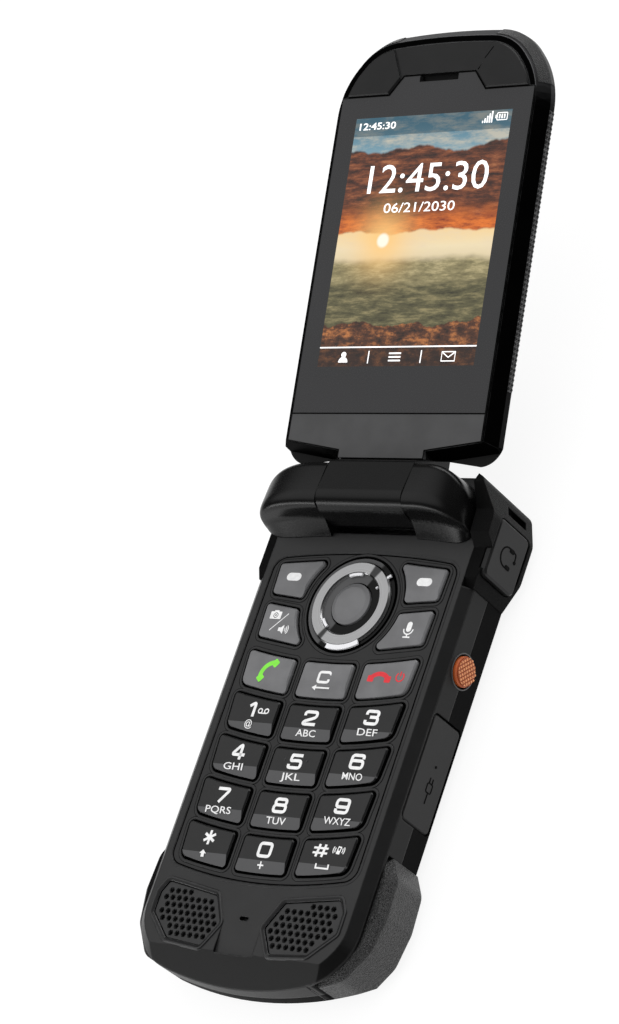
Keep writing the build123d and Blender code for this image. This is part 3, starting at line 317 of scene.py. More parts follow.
def add_grain(
    sheet: Sheet, shader: Node, height: Socket, rough: Spot, depth: float, span: Spot = (0.25, 0.75),
    normal: Socket | None = None,
) -> None:
    """Lets a grain's height change a shader's roughness and its normal.

    Args:
        sheet: the material's sheet.
        shader: its Principled BSDF.
        height: the grain's height, from 0 to 1.
        rough: the roughness low and high in the grain.
        depth: how deep the whole height is.
        span: the heights between which the roughness changes.
        normal: the normal that the grain is laid over, where it isn't the surface's own.
    """
    sheet.feed(shader.inputs["Roughness"], sheet.remap(height, *span, *rough))
    bump = sheet.add("ShaderNodeBump", {"Distance": depth, "Height": height})
    if normal is not None:
        sheet.feed(bump.inputs["Normal"], normal)
    sheet.feed(shader.inputs["Normal"], bump.outputs[0])


def new_material(name: str) -> tuple[Material, Sheet, Node]:
    """Starts a material.

    Args:
        name: the finish's name.

    Returns:
        The material, the sheet of its tree and its Principled BSDF.
    """
    material = bpy.data.materials.new(name)
    material.use_nodes = True
    return material, Sheet(material.node_tree), material.node_tree.nodes["Principled BSDF"]


# ------------------------------------------------------------------ finishes
@dataclass(frozen=True)
class Moulded:
    """Plastic, rubber or paint over a moulded shape."""

    name: str
    colour: Colour
    roughness: float
    grain_size: float = 0.16 * MM
    grain_height: float = 0.012 * MM
    grain: Grain = Grain.FINE
    blotch_size: float = 6.0 * MM
    blotch: float = 0.12
    # the edge mask pales rubbed edges and also lays a painted highlight along them: its colour, strength and
    # radius
    edge_wear_and_highlight_colour: Colour = (0.09, 0.09, 0.092)
    edge_wear_and_highlight_gain: float = 1.6
    edge_radius: float = 0.18 * MM
    specular: float = 0.5
    metallic: float = 0.0
    # a tone painted on faces that lean along Y: painted highlight or painted shade, as the light falls there
    painted_facet_tone: Colour | None = None
    painted_facet_range: tuple[float, float, float, float] = (-0.1, -0.15, -0.3, -0.24)
    # a darker colour on faces that are not upright: painted shade on walls, where the gloss is also dulled
    painted_wall_shade: Colour | None = None
    painted_wall_range: Spot = (0.5, 0.2)
    wall_gloss: float = 1.0

    def build(self) -> Material:
        """Makes the material: coloured blotches, rubbed edges with a painted highlight, optional painted
        light or shade on leaning facets and painted shade on walls, grain in bump and roughness.

        Returns:
            The material.
        """
        material, sheet, shader = new_material(self.name)
        grain = use_grain(sheet, self.grain, self.grain_size, self.blotch_size)
        wear_and_highlight = use_group(sheet, EDGE_WEAR_AND_HIGHLIGHT, {"Radius": self.edge_radius, "Gain": self.edge_wear_and_highlight_gain})
        low, high = (shaded(self.colour, 1.0 + sign * self.blotch) for sign in (-1.0, 1.0))
        body = sheet.blend(grain.outputs["Blotch"], low, high)
        if self.painted_facet_tone:
            body = sheet.blend(self.painted_facet_mask(sheet), body, self.painted_facet_tone)
        body = sheet.blend(wear_and_highlight.outputs["Mask"], body, self.edge_wear_and_highlight_colour)
        shader.inputs["Specular IOR Level"].default_value = self.specular
        if self.painted_wall_shade:
            upright = sheet.split(sheet.add("ShaderNodeNewGeometry").outputs["True Normal"])[2]
            body = sheet.blend(sheet.remap(upright, *self.painted_wall_range), body, self.painted_wall_shade)
            if self.wall_gloss != 1.0:
                dull = self.specular * self.wall_gloss
                specular = sheet.remap(upright, *self.painted_wall_range, self.specular, dull)
                sheet.feed(shader.inputs["Specular IOR Level"], specular)
        sheet.feed(shader.inputs["Base Color"], body)
        shader.inputs["Metallic"].default_value = self.metallic
        spread = 0.1 * self.roughness
        rough = (self.roughness - spread, self.roughness + spread)
        height, normal = grain.outputs["Height"], wear_and_highlight.outputs["Normal"]
        add_grain(sheet, shader, height, rough, self.grain_height, normal=normal)
        return material

    def painted_facet_mask(self, sheet: Sheet) -> Socket:
        """Where the surface leans along Y by a given range, as a key's lower facet does; there a painted
        highlight or painted shade is laid.

        Args:
            sheet: the material's sheet.

        Returns:
            The mask, from 0 to 1.
        """
        normal = sheet.add("ShaderNodeNewGeometry").outputs["True Normal"]
        slope = sheet.split(normal)[1]
        first = sheet.remap(slope, *self.painted_facet_range[:2])
        return sheet.math("MULTIPLY", first, sheet.remap(slope, *self.painted_facet_range[2:]))


@dataclass(frozen=True)
class Brushed:
    """A dark key ring whose raised band is turned, bright metal, with painted dark reflection sectors on the
    band and a painted lit side on the dish.
    """

    name: str
    centre: Spot
    band_inner: float
    band_outer: float
    edge_soft: float = 0.04 * MM
    metal: Colour = (0.5, 0.5, 0.505)
    groove_pitch: float = 0.11 * MM
    groove_depth: float = 0.004 * MM
    groove_shade: float = 0.62
    # painted light and shade on the dish, by its side of the ring
    dish_painted_light: Colour = (0.1, 0.1, 0.102)
    dish_painted_shade: Colour = (0.001, 0.001, 0.001)
    dish_roughness: float = 0.18
    painted_light_side: float = 151.0
    painted_light_range: Spot = (-0.03, 0.06)
    painted_reflection_sectors: tuple[Spot, ...] = ((62.0, 7.0), (238.0, 4.0))
    painted_sector_soft: float = 2.0
    painted_sector_shade: float = 0.12

    def build(self) -> Material:
        """Makes the material: rings of fine brushing on the band with painted dark reflection sectors, gloss
        black beside it, painted lighter on one side.

        Returns:
            The material.
        """
        material, sheet, shader = new_material(self.name)
        move = {"Vector": sheet.place(), "Location": (-self.centre[0], -self.centre[1], 0.0)}
        x, y, _ = sheet.split(sheet.add("ShaderNodeMapping", move).outputs[0])
        reach = sheet.reach(x, y)
        inside = sheet.remap(reach, self.band_inner - self.edge_soft, self.band_inner + self.edge_soft)
        outside = sheet.remap(reach, self.band_outer + self.edge_soft, self.band_outer - self.edge_soft)
        band_mask = sheet.math("MULTIPLY", inside, outside)
        count = sheet.math("MULTIPLY", reach, 1.0 / self.groove_pitch)
        streak = sheet.noise(sheet.add("ShaderNodeCombineXYZ", {"X": count}).outputs[0], 1.0, 3.0)
        bright = sheet.remap(streak, 0.3, 0.7)
        metal = sheet.blend(bright, shaded(self.metal, self.groove_shade), self.metal)
        # painted reflection: the band darkened in narrow sectors, where turned metal shows dark reflections
        for angle, half in self.painted_reflection_sectors:
            far, near = (math.cos(math.radians(half + soft)) for soft in (self.painted_sector_soft, -self.painted_sector_soft))
            painted_sector = sheet.remap(self.lean(sheet, x, y, reach, angle), far, near)
            metal = sheet.blend(painted_sector, metal, shaded(self.metal, self.painted_sector_shade))
        # painted light and shade: the dish paler on one side of the ring and darker on the other
        side = sheet.remap(self.lean(sheet, x, y, reach, self.painted_light_side), *self.painted_light_range)
        painted_dish = sheet.blend(side, self.dish_painted_shade, self.dish_painted_light)
        sheet.feed(shader.inputs["Base Color"], sheet.blend(band_mask, painted_dish, metal))
        sheet.feed(shader.inputs["Metallic"], band_mask)
        rougher = sheet.math("MULTIPLY", band_mask, sheet.remap(bright, 0.0, 1.0, 0.1, 0.16))
        sheet.feed(shader.inputs["Roughness"], sheet.math("ADD", self.dish_roughness, rougher))
        wear_and_highlight = use_group(sheet, EDGE_WEAR_AND_HIGHLIGHT, {"Radius": 0.12 * MM, "Gain": 1.0})
        bump = sheet.add("ShaderNodeBump", {"Distance": self.groove_depth, "Normal": wear_and_highlight.outputs["Normal"]})
        sheet.feed(bump.inputs["Height"], sheet.math("MULTIPLY", streak, band_mask))
        sheet.feed(shader.inputs["Normal"], bump.outputs[0])
        shader.inputs["Specular IOR Level"].default_value = 0.12
        return material

    def lean(self, sheet: Sheet, x: Socket, y: Socket, reach: Socket, angle: float) -> Socket:
        """How far a spot lies towards a direction from the ring's middle.

        Args:
            sheet: the material's sheet.
            x: the spot's place across.
            y: its place along.
            reach: its distance from the middle.
            angle: the direction, in degrees.

        Returns:
            The cosine of the angle between the two, from -1 to 1.
        """
        turn = math.radians(angle)
        across = sheet.math("MULTIPLY", x, math.cos(turn))
        along = sheet.math("MULTIPLY", y, math.sin(turn))
        return sheet.math("DIVIDE", sheet.math("ADD", across, along), reach)


@dataclass(frozen=True)
class Knurled:
    """Pyramids on a side wall, with a painted highlight on their points and painted shade in the grooves
    between them.
    """

    name: str
    groove_painted_shade: Colour
    peak_painted_highlight: Colour
    level: float
    height: float

    def build(self) -> Material:
        """Makes the material: painted highlight and shade by how far a spot stands out, over a fine grain.

        Returns:
            The material.
        """
        material, sheet, shader = new_material(self.name)
        x, _, _ = sheet.split(sheet.place())
        grain = use_grain(sheet, Grain.FINE, 0.1 * MM, 2.0 * MM)
        tone = sheet.blend(sheet.remap(x, self.level, self.level + self.height), self.groove_painted_shade, self.peak_painted_highlight)
        deep = sheet.blend(grain.outputs["Blotch"], shaded(self.groove_painted_shade, 0.9), tone)
        sheet.feed(shader.inputs["Base Color"], sheet.blend(0.2, tone, deep))
        add_grain(sheet, shader, grain.outputs["Height"], (0.38, 0.48), 0.01 * MM)
        return material


@dataclass(frozen=True)
class Lit:
    """Printed or lit marks in one colour, with a faint unevenness of the ink."""

    name: str
    colour: Colour
    glow: float = 0.0

    def build(self) -> Material:
        """Makes the material.

        Returns:
            The material.
        """
        material, sheet, shader = new_material(self.name)
        grain = use_grain(sheet, Grain.FINE, MM / 9.0, MM / 0.9)
        ink = sheet.blend(grain.outputs["Blotch"], shaded(self.colour, 0.88), self.colour)
        sheet.feed(shader.inputs["Base Color"], ink)
        sheet.feed(shader.inputs["Emission Color"], ink)
        shader.inputs["Emission Strength"].default_value = self.glow
        add_grain(sheet, shader, grain.outputs["Height"], (0.35, 0.55), 0.003 * MM, (0.2, 0.8))
        return material


# ------------------------------------------------------------------ places
@dataclass(frozen=True)
class LidFrame:
    """The lid's own frame: across, along from the hinge axis, and up from it."""

    hinge: Vector
    tilt: float

    @classmethod
    def read(cls) -> "LidFrame":
        """Takes the axis and the opening from the lid's joint."""
        joint = next(j for j in frame["joints"] if j["name"] == "lid_hinge")
        return cls(Vector(joint["pos_m"]), math.pi - math.radians(joint["range_deg"][1]))

    def matrix(self) -> Matrix:
        """From the lid's frame to the model's."""
        return Matrix.Translation(self.hinge) @ Matrix.Rotation(self.tilt, 4, "X")

    def coordinates(self, sheet: Sheet) -> Socket:
        """Shader coordinates in the lid's frame."""
        inputs = {"Vector": sheet.place(), "Location": tuple(self.hinge), "Rotation": (self.tilt, 0.0, 0.0)}
        return sheet.add("ShaderNodeMapping", inputs, vector_type="TEXTURE").outputs[0]


LID = LidFrame.read()


def flat_frame(x: float, y: float, z: float) -> Matrix:
    """A frame parallel to the model's, for marks that lie on the keypad."""
    return Matrix.Translation((x, y, z))


@dataclass(frozen=True)
class Land:
    """One stretch of ground in the evening picture, which hides what lies behind its upper line."""

    stretch: Spot
    stops: Stops
    seed: float
    line: tuple[float, float, float, float, float]


@dataclass(frozen=True)
class Window:
    """The lit window of the lid: glass border, evening picture, status strip and menu bar."""

    name: str
    half_width: float
    start: float
    length: float
    border: Colour = (0.022, 0.022, 0.0235)
    dark: Colour = (0.003, 0.003, 0.003)
    air: Stops = ((0.3, (0.42, 0.35, 0.2)), (0.47, (0.86, 0.72, 0.46)), (0.56, (0.93, 0.62, 0.26)),
                  (0.72, (0.36, 0.55, 0.62)), (0.97, (0.045, 0.16, 0.24)))
    wisps: Stops = ((0.45, (0.0, 0.0, 0.0)), (0.62, (1.0, 1.0, 1.0)))
    cloud: Stops = ((0.36, (0.006, 0.002, 0.0015)), (0.47, (0.075, 0.02, 0.008)), (0.56, (0.2, 0.055, 0.018)),
                    (0.68, (0.42, 0.15, 0.055)))
    ember: Stops = ((0.35, (0.22, 0.025, 0.004)), (0.62, (0.85, 0.2, 0.02)))
    lands: tuple[Land, ...] = (
        Land(
            (8.0, 44.0), ((0.34, (0.13, 0.11, 0.05)), (0.5, (0.27, 0.23, 0.11)), (0.64, (0.5, 0.42, 0.22))),
            11.0, (0.42, 0.035, 3.2, 12.0, 0.02),
        ),
        Land(
            (7.0, 40.0), ((0.34, (0.03, 0.028, 0.012)), (0.5, (0.11, 0.1, 0.045)), (0.66, (0.3, 0.25, 0.12))),
            15.0, (0.33, 0.05, 2.4, 20.0, 0.02),
        ),
        Land(
            (11.0, 26.0),
            ((0.36, (0.006, 0.003, 0.002)), (0.5, (0.09, 0.03, 0.012)), (0.64, (0.5, 0.18, 0.05))),
            19.0, (0.17, 0.1, 3.4, 26.0, 0.003),
        ),
    )
    sun_spot: Spot = (0.3, 0.5)
    sun_radius: float = 0.035
    glow_radius: float = 0.34
    strip_start: float = 0.925
    menu_end: float = 0.075

    def build(self) -> Material:
        """Makes the glass: a grey border, and a lit picture behind the clear window.

        Returns:
            The material.
        """
        material, sheet, shader = new_material(self.name)
        x, along, _ = sheet.split(LID.coordinates(sheet))
        u = sheet.remap_line(x, -self.half_width, self.half_width)
        v = sheet.remap_line(along, self.start, self.start + self.length)
        inside = sheet.math("MULTIPLY", self.between(sheet, u), self.between(sheet, v))
        grain = use_grain(sheet, Grain.FINE, 0.25 * MM, MM / 0.06)
        border = sheet.blend(grain.outputs["Blotch"], shaded(self.border, 0.92), self.border)
        picture = sheet.blend(inside, (0.0, 0.0, 0.0), self.picture(sheet, u, v))
        sheet.feed(shader.inputs["Base Color"], sheet.blend(inside, border, self.dark))
        sheet.feed(shader.inputs["Emission Color"], picture)
        shader.inputs["Emission Strength"].default_value = 1.0
        shader.inputs["Specular IOR Level"].default_value = 0.35
        add_grain(sheet, shader, grain.outputs["Height"], (0.22, 0.3), 0.001 * MM, (0.2, 0.8))
        return material

    def between(self, sheet: Sheet, share: Socket) -> Socket:
        """One where a share lies between 0 and 1."""
        above = sheet.math("GREATER_THAN", share, 0.0)
        return sheet.math("MULTIPLY", above, sheet.math("LESS_THAN", share, 1.0))

    def ridge(
        self, sheet: Sheet, u: Socket, v: Socket, level: float, swing: float, waves: float, seed: float,
        soft: float = 0.006,
    ) -> Socket:
        """A mask of what lies below an uneven line across the picture.

        Args:
            sheet: the material's sheet.
            u: the share across the picture.
            v: the share up the picture.
            level: the line's middle height.
            swing: how far it rises and falls.
            waves: how many rises fit across.
            seed: where the noise is read.
            soft: how softly the line is drawn.

        Returns:
            One below the line, zero above it.
        """
        line = sheet.add("ShaderNodeCombineXYZ", {"X": sheet.math("MULTIPLY", u, waves), "Y": seed})
        rough = sheet.noise(line.outputs[0], 1.0, 6.0)
        height = sheet.math("ADD", level - swing, sheet.math("MULTIPLY", rough, 2.0 * swing))
        return sheet.remap(sheet.math("SUBTRACT", v, height), soft, -soft)

    def rock(self, sheet: Sheet, u: Socket, v: Socket, stretch: Spot, stops: Stops, seed: float) -> Socket:
        """A streaked field of colours, as of banked cloud or weathered ground.

        Args:
            sheet: the material's sheet.
            u: the share across the picture.
            v: the share up the picture.
            stretch: how many streaks fit across and up.
            stops: the colours that it runs through.
            seed: where the noise is read.

        Returns:
            The colour.
        """
        x, y = sheet.math("MULTIPLY", u, stretch[0]), sheet.math("MULTIPLY", v, stretch[1])
        spot = sheet.add("ShaderNodeCombineXYZ", {"X": x, "Y": y, "Z": seed}).outputs[0]
        inputs = {"Vector": spot, "Scale": 1.0, "Detail": 10.0, "Roughness": 0.72}
        return self.scale_of(sheet, sheet.add("ShaderNodeTexNoise", inputs).outputs["Fac"], stops)

    def scale_of(self, sheet: Sheet, share: Socket, stops: Stops) -> Socket:
        """A colour ramp.

        Args:
            sheet: the material's sheet.
            share: where it is read, from 0 to 1.
            stops: its places and colours, in order.

        Returns:
            The colour.
        """
        ramp = sheet.add("ShaderNodeValToRGB", {"Fac": share})
        handles = ramp.color_ramp.elements
        while len(handles) < len(stops):
            handles.new(0.5)
        for handle, (place, _) in zip(handles, stops):
            handle.position = place
        for handle, (_, colour) in zip(handles, stops):
            handle.color = (*colour, 1.0)
        return ramp.outputs["Color"]

    def picture(self, sheet: Sheet, u: Socket, v: Socket) -> Socket:
        """An evening landscape: teal sky, banked red cloud, low sun, misty flats and dunes.

        Args:
            sheet: the material's sheet.
            u: the share across the picture.
            v: the share up the picture.

        Returns:
            The colour.
        """
        wisps = sheet.math("MULTIPLY", self.rock(sheet, u, v, (3.0, 14.0), self.wisps, 3.0), 0.55)
        sky = sheet.blend(wisps, self.scale_of(sheet, v, self.air), (0.8, 0.66, 0.46))
        cloud = self.rock(sheet, u, v, (6.0, 34.0), self.cloud, 7.0)
        ember = self.rock(sheet, u, v, (7.0, 40.0), self.ember, 5.0)
        upper = self.ridge(sheet, u, v, 0.865, 0.07, 3.6, 4.0)
        lower = self.ridge(sheet, u, v, 0.53, 0.07, 2.2, 9.0)
        bank = sheet.math("MULTIPLY", upper, sheet.math("SUBTRACT", 1.0, lower))
        hot = sheet.blend(self.ridge(sheet, u, v, 0.6, 0.07, 2.2, 9.0, 0.06), cloud, ember)
        image = sheet.blend(bank, sky, hot)
        for land in self.lands:
            ground = self.rock(sheet, u, v, land.stretch, land.stops, land.seed)
            image = sheet.blend(self.ridge(sheet, u, v, *land.line), image, ground)
        image = self.sun(sheet, u, v, image)
        strip = sheet.math("MULTIPLY", sheet.math("GREATER_THAN", v, self.strip_start), 0.62)
        image = sheet.blend(strip, image, (0.02, 0.07, 0.1))
        menu = sheet.math("MULTIPLY", sheet.math("LESS_THAN", v, self.menu_end), 0.72)
        return sheet.blend(menu, image, (0.012, 0.005, 0.003))

    def sun(self, sheet: Sheet, u: Socket, v: Socket, image: Socket) -> Socket:
        """A low sun with a wide soft glow, laid over the picture.

        Args:
            sheet: the material's sheet.
            u: the share across the picture.
            v: the share up the picture.
            image: the picture so far.

        Returns:
            The colour.
        """
        shape = self.half_width * 2 / self.length
        across = sheet.math("MULTIPLY", sheet.math("SUBTRACT", u, self.sun_spot[0]), shape)
        reach = sheet.reach(across, sheet.math("SUBTRACT", v, self.sun_spot[1]))
        halo = sheet.math("POWER", sheet.remap(reach, self.glow_radius, 0.0), 3.0)
        warm = sheet.blend(sheet.math("MULTIPLY", halo, 0.85), image, (1.0, 0.6, 0.2))
        return sheet.blend(sheet.remap(reach, self.sun_radius, 0.02), warm, (1.0, 0.96, 0.8))


# ------------------------------------------------------------------ modelling helpers
def deselect() -> None:
    """Leaves nothing selected, so that an operator acts only on what follows."""
    if bpy.context.object and bpy.context.object.mode != "OBJECT":
        bpy.ops.object.mode_set(mode="OBJECT")
    bpy.ops.object.select_all(action="DESELECT")


def pick_up(piece: Piece) -> None:
    """Makes one object the selected and active one.

    Args:
        piece: the object.
    """
    deselect()
    piece.select_set(True)
    bpy.context.view_layer.objects.active = piece


def add_object(name: str, data: bpy.types.ID) -> Piece:
    """Adds an object to the scene.

    Args:
        name: its name.
        data: its mesh, curve, lamp or camera data.

    Returns:
        The object.
    """
    piece = bpy.data.objects.new(name, data)
    bpy.context.scene.collection.objects.link(piece)
    return piece


def settle(piece: Piece, name: str, place: Matrix) -> Piece:
    """Turns what was drawn in millimetres into a mesh in the model's metres, at its place.

    Args:
        piece: a curve, text or mesh object.
        name: its name.
        place: the frame that it was drawn in.

    Returns:
        The mesh object, at the model's origin.
    """
    pick_up(piece)
    if piece.type != "MESH":
        bpy.ops.object.convert(target="MESH")
        piece = bpy.context.object
    piece.data.transform(place @ Matrix.Scale(MM, 4) @ piece.matrix_world)
    piece.matrix_world = Matrix.Identity(4)
    piece.name = name
    piece.data.name = name
    return piece


def merge(pieces: Sequence[Piece], name: str) -> Piece:
    """Joins settled meshes.

    Args:
        pieces: the meshes.
        name: the name of the whole.

    Returns:
        The one piece.
    """
    deselect()
    for piece in pieces:
        piece.select_set(True)
    bpy.context.view_layer.objects.active = pieces[0]
    if len(pieces) > 1:
        bpy.ops.object.join()
    whole = bpy.context.object
    whole.name = name
    whole.data.name = name
    return whole


def paint(piece: Piece, material: Material) -> None:
    """Gives a piece or a node one finish all over."""
    piece.data.materials.clear()
    piece.data.materials.append(material)


def dress(piece: Piece, body: str, material: Material) -> None:
    """Gives a new piece its finish and the body that it rides on.

    Args:
        piece: the finished mesh.
        body: the moving part that carries it.
        material: its finish.
    """
    paint(piece, material)
    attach(piece, body)
    log.info("%s rides on %s, %d faces", piece.name, body, len(piece.data.polygons))


def smooth(piece: Piece, angle: float = 35.0) -> Piece:
    """Shades a piece smooth, but for its sharp edges.

    Args:
        piece: the mesh object.
        angle: the largest angle between faces that is smoothed, in degrees.

    Returns:
        The same piece.
    """
    pick_up(piece)
    bpy.ops.object.shade_smooth_by_angle(angle=math.radians(angle))
    return piece


def lettering(text: str, height: float, width: float, weight: float = 0.0) -> Piece:
    """A line of text, centred on the origin.

    Args:
        text: what it says.
        height: the height of its capitals.
        width: how wide the line comes out.
        weight: how much its strokes are thickened.

    Returns:
        The text object.
    """
    deselect()
    bpy.ops.object.text_add()
    line = bpy.context.object
    line.data.body = text
    line.data.size = height / CAP_SHARE
    line.data.align_x = "CENTER"
    line.data.align_y = "CENTER"
    line.data.extrude = INK / 2
    line.data.offset = weight
    line.data.resolution_u = 3
    bpy.context.view_layer.update()
    line.scale = (width / line.dimensions.x, 1.0, 1.0)
    return line


def add_line(curve: bpy.types.Curve, points: Sequence[Sequence[float]], closed: bool = True) -> None:
    """Adds a line of straight stretches to a curve.

    Args:
        curve: the curve's data.
        points: the line's points, each with three coordinates.
        closed: whether the line comes back to its start.
    """
    spline = curve.splines.new("POLY")
    spline.points.add(len(points) - 1)
    for point, corner in zip(spline.points, points):
        point.co = (*corner, 1.0)
    spline.use_cyclic_u = closed


def flat_shape(loops: Sequence[Loop], depth: float = INK) -> Piece:
    """A thin plate of closed outlines, where an outline inside another is a hole.

    Args:
        loops: the outlines.
        depth: the plate's thickness.

    Returns:
        The curve object.
    """
    curve = bpy.data.curves.new("shape", "CURVE")
    curve.dimensions = "2D"
    curve.fill_mode = "BOTH"
    curve.extrude = depth / 2
    for loop in loops:
        add_line(curve, [(x, y, 0.0) for x, y in loop])
    return add_object("shape", curve)


def inked(shapes: Shapes, place: Matrix, depth: float = INK) -> list[Piece]:
    """Plates of several shapes, each a hair thicker than the last, so that no two faces coincide."""
    return [settle(flat_shape(shape, depth + 0.006 * i), "symbol", place) for i, shape in enumerate(shapes)]


def bead(loop: Sequence[tuple[float, float, float]], radius: float, closed: bool = True) -> Piece:
    """A round bead along a line.

    Args:
        loop: the line's points.
        radius: the bead's own radius.
        closed: whether it comes back to its start.

    Returns:
        The curve object.
    """
    curve = bpy.data.curves.new("bead", "CURVE")
    curve.dimensions = "3D"
    curve.bevel_depth = radius
    curve.bevel_resolution = 1
    curve.use_fill_caps = True
    add_line(curve, loop, closed)
    return add_object("bead", curve)


def level_bead(outline: Loop, level: float, reach: float, rise: float, radius: float) -> Piece:
    """A closed bead outside an outline: its reach, its rise over a level, and its own radius."""
    return bead([(x, y, level + rise) for x, y in grown(outline, reach)], radius)


def close_up() -> None:
    """Turns all faces of the mesh in edit mode outwards, and leaves edit mode."""
    bpy.ops.mesh.select_all(action="SELECT")
    bpy.ops.mesh.normals_make_consistent(inside=False)
    bpy.ops.object.mode_set(mode="OBJECT")


def carve(piece: Piece, tool: Piece, operation: str) -> None:
    """Cuts a piece with another one, which is used up.

    Args:
        piece: what is cut.
        tool: what it is cut with.
        operation: "DIFFERENCE" or "INTERSECT".
    """
    cut = piece.modifiers.new("cut", "BOOLEAN")
    cut.operation = operation
    cut.object = tool
    pick_up(piece)
    bpy.ops.object.modifier_apply(modifier="cut")
    bpy.data.objects.remove(tool)


def knurl(length: float, width: float, cells: tuple[int, int], height: float) -> Piece:
    """A plate of small pyramids, flat in XY and centred on the origin.

    Args:
        length: along X.
        width: along Y.
        cells: how many pyramids fit each way.
        height: how high they stand.

    Returns:
        The closed mesh object.
    """
    deselect()
    bpy.ops.mesh.primitive_grid_add(x_subdivisions=cells[0], y_subdivisions=cells[1], size=1.0)
    plate = bpy.context.object
    plate.scale = (length, width, 1.0)
    bpy.ops.object.transform_apply(location=False, rotation=False, scale=True)
    bpy.ops.object.mode_set(mode="EDIT")
    bpy.ops.mesh.select_all(action="SELECT")
    bpy.ops.mesh.extrude_region_move(TRANSFORM_OT_translate={"value": (0.0, 0.0, KNURL_PLATE)})
    bpy.ops.mesh.poke(offset=height)
    close_up()
    return plate


def arc_wedge(profile: Sequence[Spot], start: float, end: float) -> Piece:
    """A section turned about Z between two angles in degrees.

    Args:
        profile: four corners of the section, as radius and height.
        start: the first angle.
        end: the last one.

    Returns:
        The mesh object.
    """
    deselect()
    bpy.ops.mesh.primitive_plane_add(size=1.0)
    wedge = bpy.context.object
    first = Matrix.Rotation(math.radians(start), 4, "Z")
    around = (wedge.data.vertices[i] for i in (0, 1, 3, 2))
    for vertex, (radius, height) in zip(around, profile):
        vertex.co = first @ Vector((radius, 0.0, height))
    bpy.ops.object.mode_set(mode="EDIT")
    bpy.ops.mesh.select_all(action="SELECT")
    bpy.ops.mesh.spin(steps=16, angle=math.radians(start - end), center=(0.0, 0.0, 0.0), axis=(0.0, 0.0, 1.0))
    close_up()
    return wedge


def lofted(rings: Sequence[Sequence[tuple[float, float, float]]], capped: bool) -> Piece:
    """A closed surface through rings that all have the same number of corners.

    Args:
        rings: the rings, in order.
        capped: whether the first and last ring get a face each, or are joined to each other.

    Returns:
        The mesh object.
    """
    shape = bmesh.new()
    loops = [[shape.verts.new(corner) for corner in corners] for corners in rings]
    for here, there in zip(loops, loops[1:] if capped else loops[1:] + loops[:1]):
        for i in range(len(here)):
            j = (i + 1) % len(here)
            shape.faces.new((here[i], here[j], there[j], there[i]))
    if capped:
        shape.faces.new(loops[0])
        shape.faces.new(loops[-1])
    bmesh.ops.recalc_face_normals(shape, faces=shape.faces)
    mesh = bpy.data.meshes.new("loft")
    shape.to_mesh(mesh)
    shape.free()
    return add_object("loft", mesh)


def band(outline: Loop, section: Sequence[Spot], level: float) -> Piece:
    """A strip with one section all along an outline.

    Args:
        outline: a closed outline.
        section: corners of the strip's section, as distance outside the outline and rise over the level.
        level: the height that the section is counted from.

    Returns:
        The mesh object.
    """
    rings = [[(x, y, level + rise) for x, y in grown(outline, reach)] for reach, rise in section]
    return lofted(rings, False)


# ------------------------------------------------------------------ drawing in outlines
def ribbon(points: Loop, width: float, closed: bool = False) -> list[Loop]:
    """The outlines of a flat stroke of one width along a line.

    Args:
        points: the line.
        width: the stroke's width.
        closed: whether the line comes back to its start.

    Returns:
        One outline, or an outer and an inner one.
    """
    left, right = [], []
    for i, (x, y) in enumerate(points):
        before = points[i - 1] if i or closed else points[i]
        after = points[(i + 1) % len(points)] if i + 1 < len(points) or closed else points[i]
        run = math.hypot(after[0] - before[0], after[1] - before[1])
        nx, ny = -(after[1] - before[1]) / run, (after[0] - before[0]) / run
        left.append((x + nx * width / 2, y + ny * width / 2))
        right.append((x - nx * width / 2, y - ny * width / 2))
    return [left, right] if closed else [left + right[::-1]]


def lengthened(points: Loop, reach: float) -> Loop:
    """A line drawn out at both ends.

    Args:
        points: the line.
        reach: by how much.

    Returns:
        The longer line.
    """
    first, second, before, last = (Vector(points[i]) for i in (0, 1, -2, -1))
    start = first + (first - second).normalized() * reach
    end = last + (last - before).normalized() * reach
    return [(start.x, start.y), *points[1:-1], (end.x, end.y)]


def rounded(points: Loop, radius: float, closed: bool = False, steps: int = 6) -> Loop:
    """A line whose corners are rounded off.

    Args:
        points: the line.
        radius: how far from a corner the rounding starts, or less where a stretch is short.
        closed: whether the line comes back to its start.
        steps: how many pieces a rounding has.

    Returns:
        The rounded line.
    """
    result: Loop = []
    for i, corner in enumerate(points):
        if not closed and i in (0, len(points) - 1):
            result.append(corner)
            continue
        before = Vector(points[i - 1]) - Vector(corner)
        after = Vector(points[(i + 1) % len(points)]) - Vector(corner)
        first = Vector(corner) + before.normalized() * min(radius, before.length * 0.48)
        last = Vector(corner) + after.normalized() * min(radius, after.length * 0.48)
        for step in range(steps + 1):
            t = step / steps
            spot = (1 - t) ** 2 * first + 2 * t * (1 - t) * Vector(corner) + t * t * last
            result.append((spot.x, spot.y))
    return result


def arc(x: float, y: float, radius: float, start: float, end: float, steps: int = 14) -> Loop:
    """Points along a circle between two angles in degrees."""
    turns = [math.radians(start + (end - start) * i / steps) for i in range(steps + 1)]
    return [(x + radius * math.cos(turn), y + radius * math.sin(turn)) for turn in turns]


def ring(x: float, y: float, radius: float, width: float) -> list[Loop]:
    """A round ring, as an outer and an inner outline."""
    return [arc(x, y, radius + width / 2, 0, 345, 23), arc(x, y, radius - width / 2, 0, 345, 23)]


def pill(x: float, y: float, width: float, height: float) -> Loop:
    """A rounded bar."""
    reach = (width - height) / 2
    return arc(x + reach, y, height / 2, -90, 90, 8) + arc(x - reach, y, height / 2, 90, 270, 8)


def rectangle(x: float, y: float, width: float, height: float) -> Loop:
    """A rectangle round its centre."""
    w, h = width / 2, height / 2
    return [(x - w, y - h), (x + w, y - h), (x + w, y + h), (x - w, y + h)]


